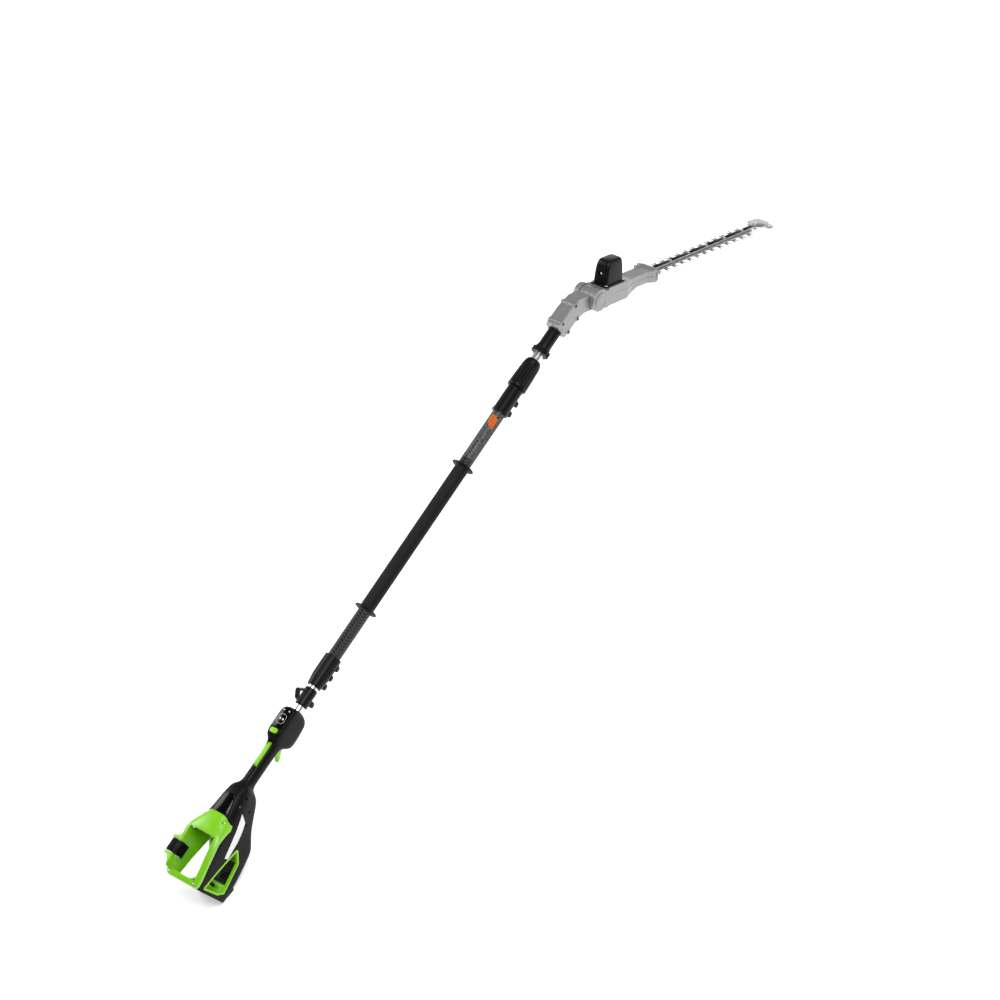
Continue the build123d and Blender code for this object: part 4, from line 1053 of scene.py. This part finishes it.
def rail():
    """The stiffening bar, grooved along its top, with its black strips and its bolts."""
    bar = slab("stiffening_rail", (196, RAIL_END), (-7.5, 7.5), (2.75, RAIL_TOP))
    cut(bar, slab("groove", (200, RAIL_END - 30), (-5.2, 5.2), (RAIL_TOP - 0.7, RAIL_TOP + 1)))
    ready(eased(bar, 0.6, 2), HEAD, "head", "rail_alu", "blade_rail")
    strips = []
    ends = BOLTS[1:-1] + [RAIL_END - 28]
    for start, end in zip(BOLTS, ends):
        strip = slab("strip", (start + 7, end - 7), (-4.4, 4.4), (RAIL_TOP - 0.7, RAIL_TOP + 3.0))
        strips.append(eased(strip, 1.0, 2))
    ready(joined(*strips, name="rail_strips"), HEAD, "head", "cover_black", "rail_cover")
    group = []
    for u in BOLTS:
        seat = RAIL_TOP + (2.0 if u > RAIL_END - 30 else 0.0) - 0.3
        corners = [math.radians(angle) for angle in range(0, 360, 60)]
        outline = [(u + NUT_RADIUS * math.cos(a), NUT_RADIUS * math.sin(a)) for a in corners]
        group.append(eased(prism("nut", outline, seat, seat + 2.8, "Z"), 0.6, 2))
        group.append(eased(rod("stud", "Z", 3.0, -2.9, seat + 3.2, (u, 0), 24), 0.4, 1))
        group.append(eased(rod("washer", "Z", 6.4, -4.8, -2.8, (u, 0), 32), 0.5, 2))
    ready(joined(*group, name="rail_hardware"), HEAD, "head", "screw_steel", "rail_bolts")


def guards():
    """The pressed plate in front of the arm, and the folded guard over the tip."""
    outline = [(-33, -12), (-30, -20), (-24, -21.5), (24, -21.5), (30, -20), (33, -12), (33, 8), (29, 16),
               (22, 19), (-22, 19), (-29, 16), (-33, 8)]
    flange = prism("twig_guard", outline, 253.5, 261.8, "X")
    cut(flange, slab("channel", (250, 270), (-14, 14), (-4, 9.5)))
    ready(eased(flange, 1.8, 3), HEAD, "head", "cast_grey", "guard_flange")
    top = [(736, 15), (743, 15), (748, 21), (755, 27.4), (788, 25.6), (800, 16), (800, -16), (788, -25.6),
           (755, -27.4), (748, -21), (743, -15), (736, -15)]
    plate = prism("folded_tip_guard", top, RAIL_TOP, RAIL_TOP + 2.2, "Z")
    front = slab("fold", (797.8, 800), (-16, 16), (-8, RAIL_TOP + 2))
    lower = [(797.8, 25.6), (812, 24.4), (818, 23.6), (823.6, 10), (823.6, -10), (818, -23.6),
             (812, -24.4), (797.8, -25.6)]
    fused(plate, front, prism("nose", lower, -8, -5.8, "Z"))
    ready(eased(plate, 0.5, 2), HEAD, "head", "cast_grey", "tip_guard", finish="rail_alu")


def thumb_slide():
    """The ribbed slide that draws the index pin."""
    tab = slab("index_tab", (38.2, 55.8), (-7.8, 7.8), (-36.8, -31.5))
    ribs = [slab("rib", (40 + i * 3.6, 41.4 + i * 3.6), (-8.5, 8.5), (-40, -35.8)) for i in range(5)]
    cut(tab, joined(*ribs))
    stem = slab("stem", (41.2, 54.8), (-5.8, 5.8), (-32, 2.8))
    fused(tab, stem, rod("pin", "X", 2.4, 37, 43))
    ready(eased(tab, 0.6, 2), HEAD, "index_lock", "cover_black", "index_slider")


# ---- Stage ----------------------------------------------------------------------------------------
# Each light: name, place in metres, width and power.
LIGHTS = [("key", (-1.0, -2.4, 5.2), 2.6, 190), ("fill", (3.0, -1.6, 4.2), 2.4, 80),
          ("rim", (-0.8, 4.2, 3.0), 3.0, 150)]
LIGHT_AIM = Vector((0, 0, 0.25))
WHITE = (1, 1, 1, 1)
GLOW_OF_FLOOR, WORLD_LIGHT, WORLD_SEEN = 0.42, 0.22, 1.0
CAMERA_PLACE, CAMERA_TURN, CAMERA_LENS = (-3.389, -4.906, 6.580), (40.592, 15.290, -52.281), 117.3


def stage():
    """A pale floor, soft lights and a white world."""
    bpy.ops.object.select_all(action="DESELECT")
    bpy.ops.mesh.primitive_plane_add(size=40, location=(0, 0, -0.0005))
    floor = bpy.context.object
    floor.name = "floor"
    material, tree, shader, at = base_material("floor_paper")
    paper = mixed(tree, noise(tree, at, 0.6, 2.0), shade(246), shade(249))
    tree.links.new(paper, shader.inputs["Base Color"])
    shader.inputs["Roughness"].default_value = 0.95
    shader.inputs["Specular IOR Level"].default_value = 0.1
    shader.inputs["Emission Color"].default_value = WHITE
    shader.inputs["Emission Strength"].default_value = GLOW_OF_FLOOR
    floor.data.materials.append(material)
    for light in LIGHTS:
        soft_light(*light)
    world = bpy.data.worlds.new("studio")
    world.use_nodes = True
    backdrop = world.node_tree.nodes["Background"]
    backdrop.inputs["Color"].default_value = WHITE
    seen = node(world.node_tree, "LightPath").outputs["Is Camera Ray"]
    level = node(world.node_tree, "MapRange", {"Value": seen, "To Min": WORLD_LIGHT, "To Max": WORLD_SEEN})
    world.node_tree.links.new(level.outputs[0], backdrop.inputs["Strength"])
    bpy.context.scene.world = world
    bpy.context.scene.view_settings.view_transform = "Standard"


def soft_light(name, place, size, power):
    """A round area light that faces the tool."""
    lamp = bpy.data.lights.new(name, "AREA")
    lamp.shape = "DISK"
    lamp.size = size
    lamp.energy = power
    holder = bpy.data.objects.new(name, lamp)
    bpy.context.scene.collection.objects.link(holder)
    holder.location = place
    aim = LIGHT_AIM - Vector(place)
    holder.rotation_euler = aim.to_track_quat("-Z", "Y").to_euler()


def camera():
    """A long lens from above and to the right of the tool's rear end, rolled so that the pole climbs."""
    lens = bpy.data.cameras.new("view")
    lens.lens = CAMERA_LENS
    lens.sensor_width = 36
    holder = bpy.data.objects.new("view", lens)
    bpy.context.scene.collection.objects.link(holder)
    holder.location = CAMERA_PLACE
    holder.rotation_euler = [math.radians(angle) for angle in CAMERA_TURN]
    bpy.context.scene.camera = holder


def dress_nodes():
    """Every CAD node gets its slot's material; the housing screws are painted dark grey, painted shade of the
    holes they sit in.
    """
    for name, slot in node_slots().items():
        mesh = frame["nodes"][name].data
        mesh.materials.clear()
        mesh.materials.append(MATERIALS["screw_painted_shade" if name == "housing_screws" else slot])


stage()
camera()
dress_nodes()
housing_shells()
nameplates()
potted_end()
battery_cradle()
cradle_screws()
shoulder_cap()
latch_block()
display()
start_button()
safety_lever()
speed_trigger()
return_springs()
rounded_pole_parts()
twist_lock_knob()
ribbed_grip()
pole_screws()
label_bars()
elbow()
head_casting()
cheek_discs()
motor_hood()
blades()
rail()
guards()
thumb_slide()
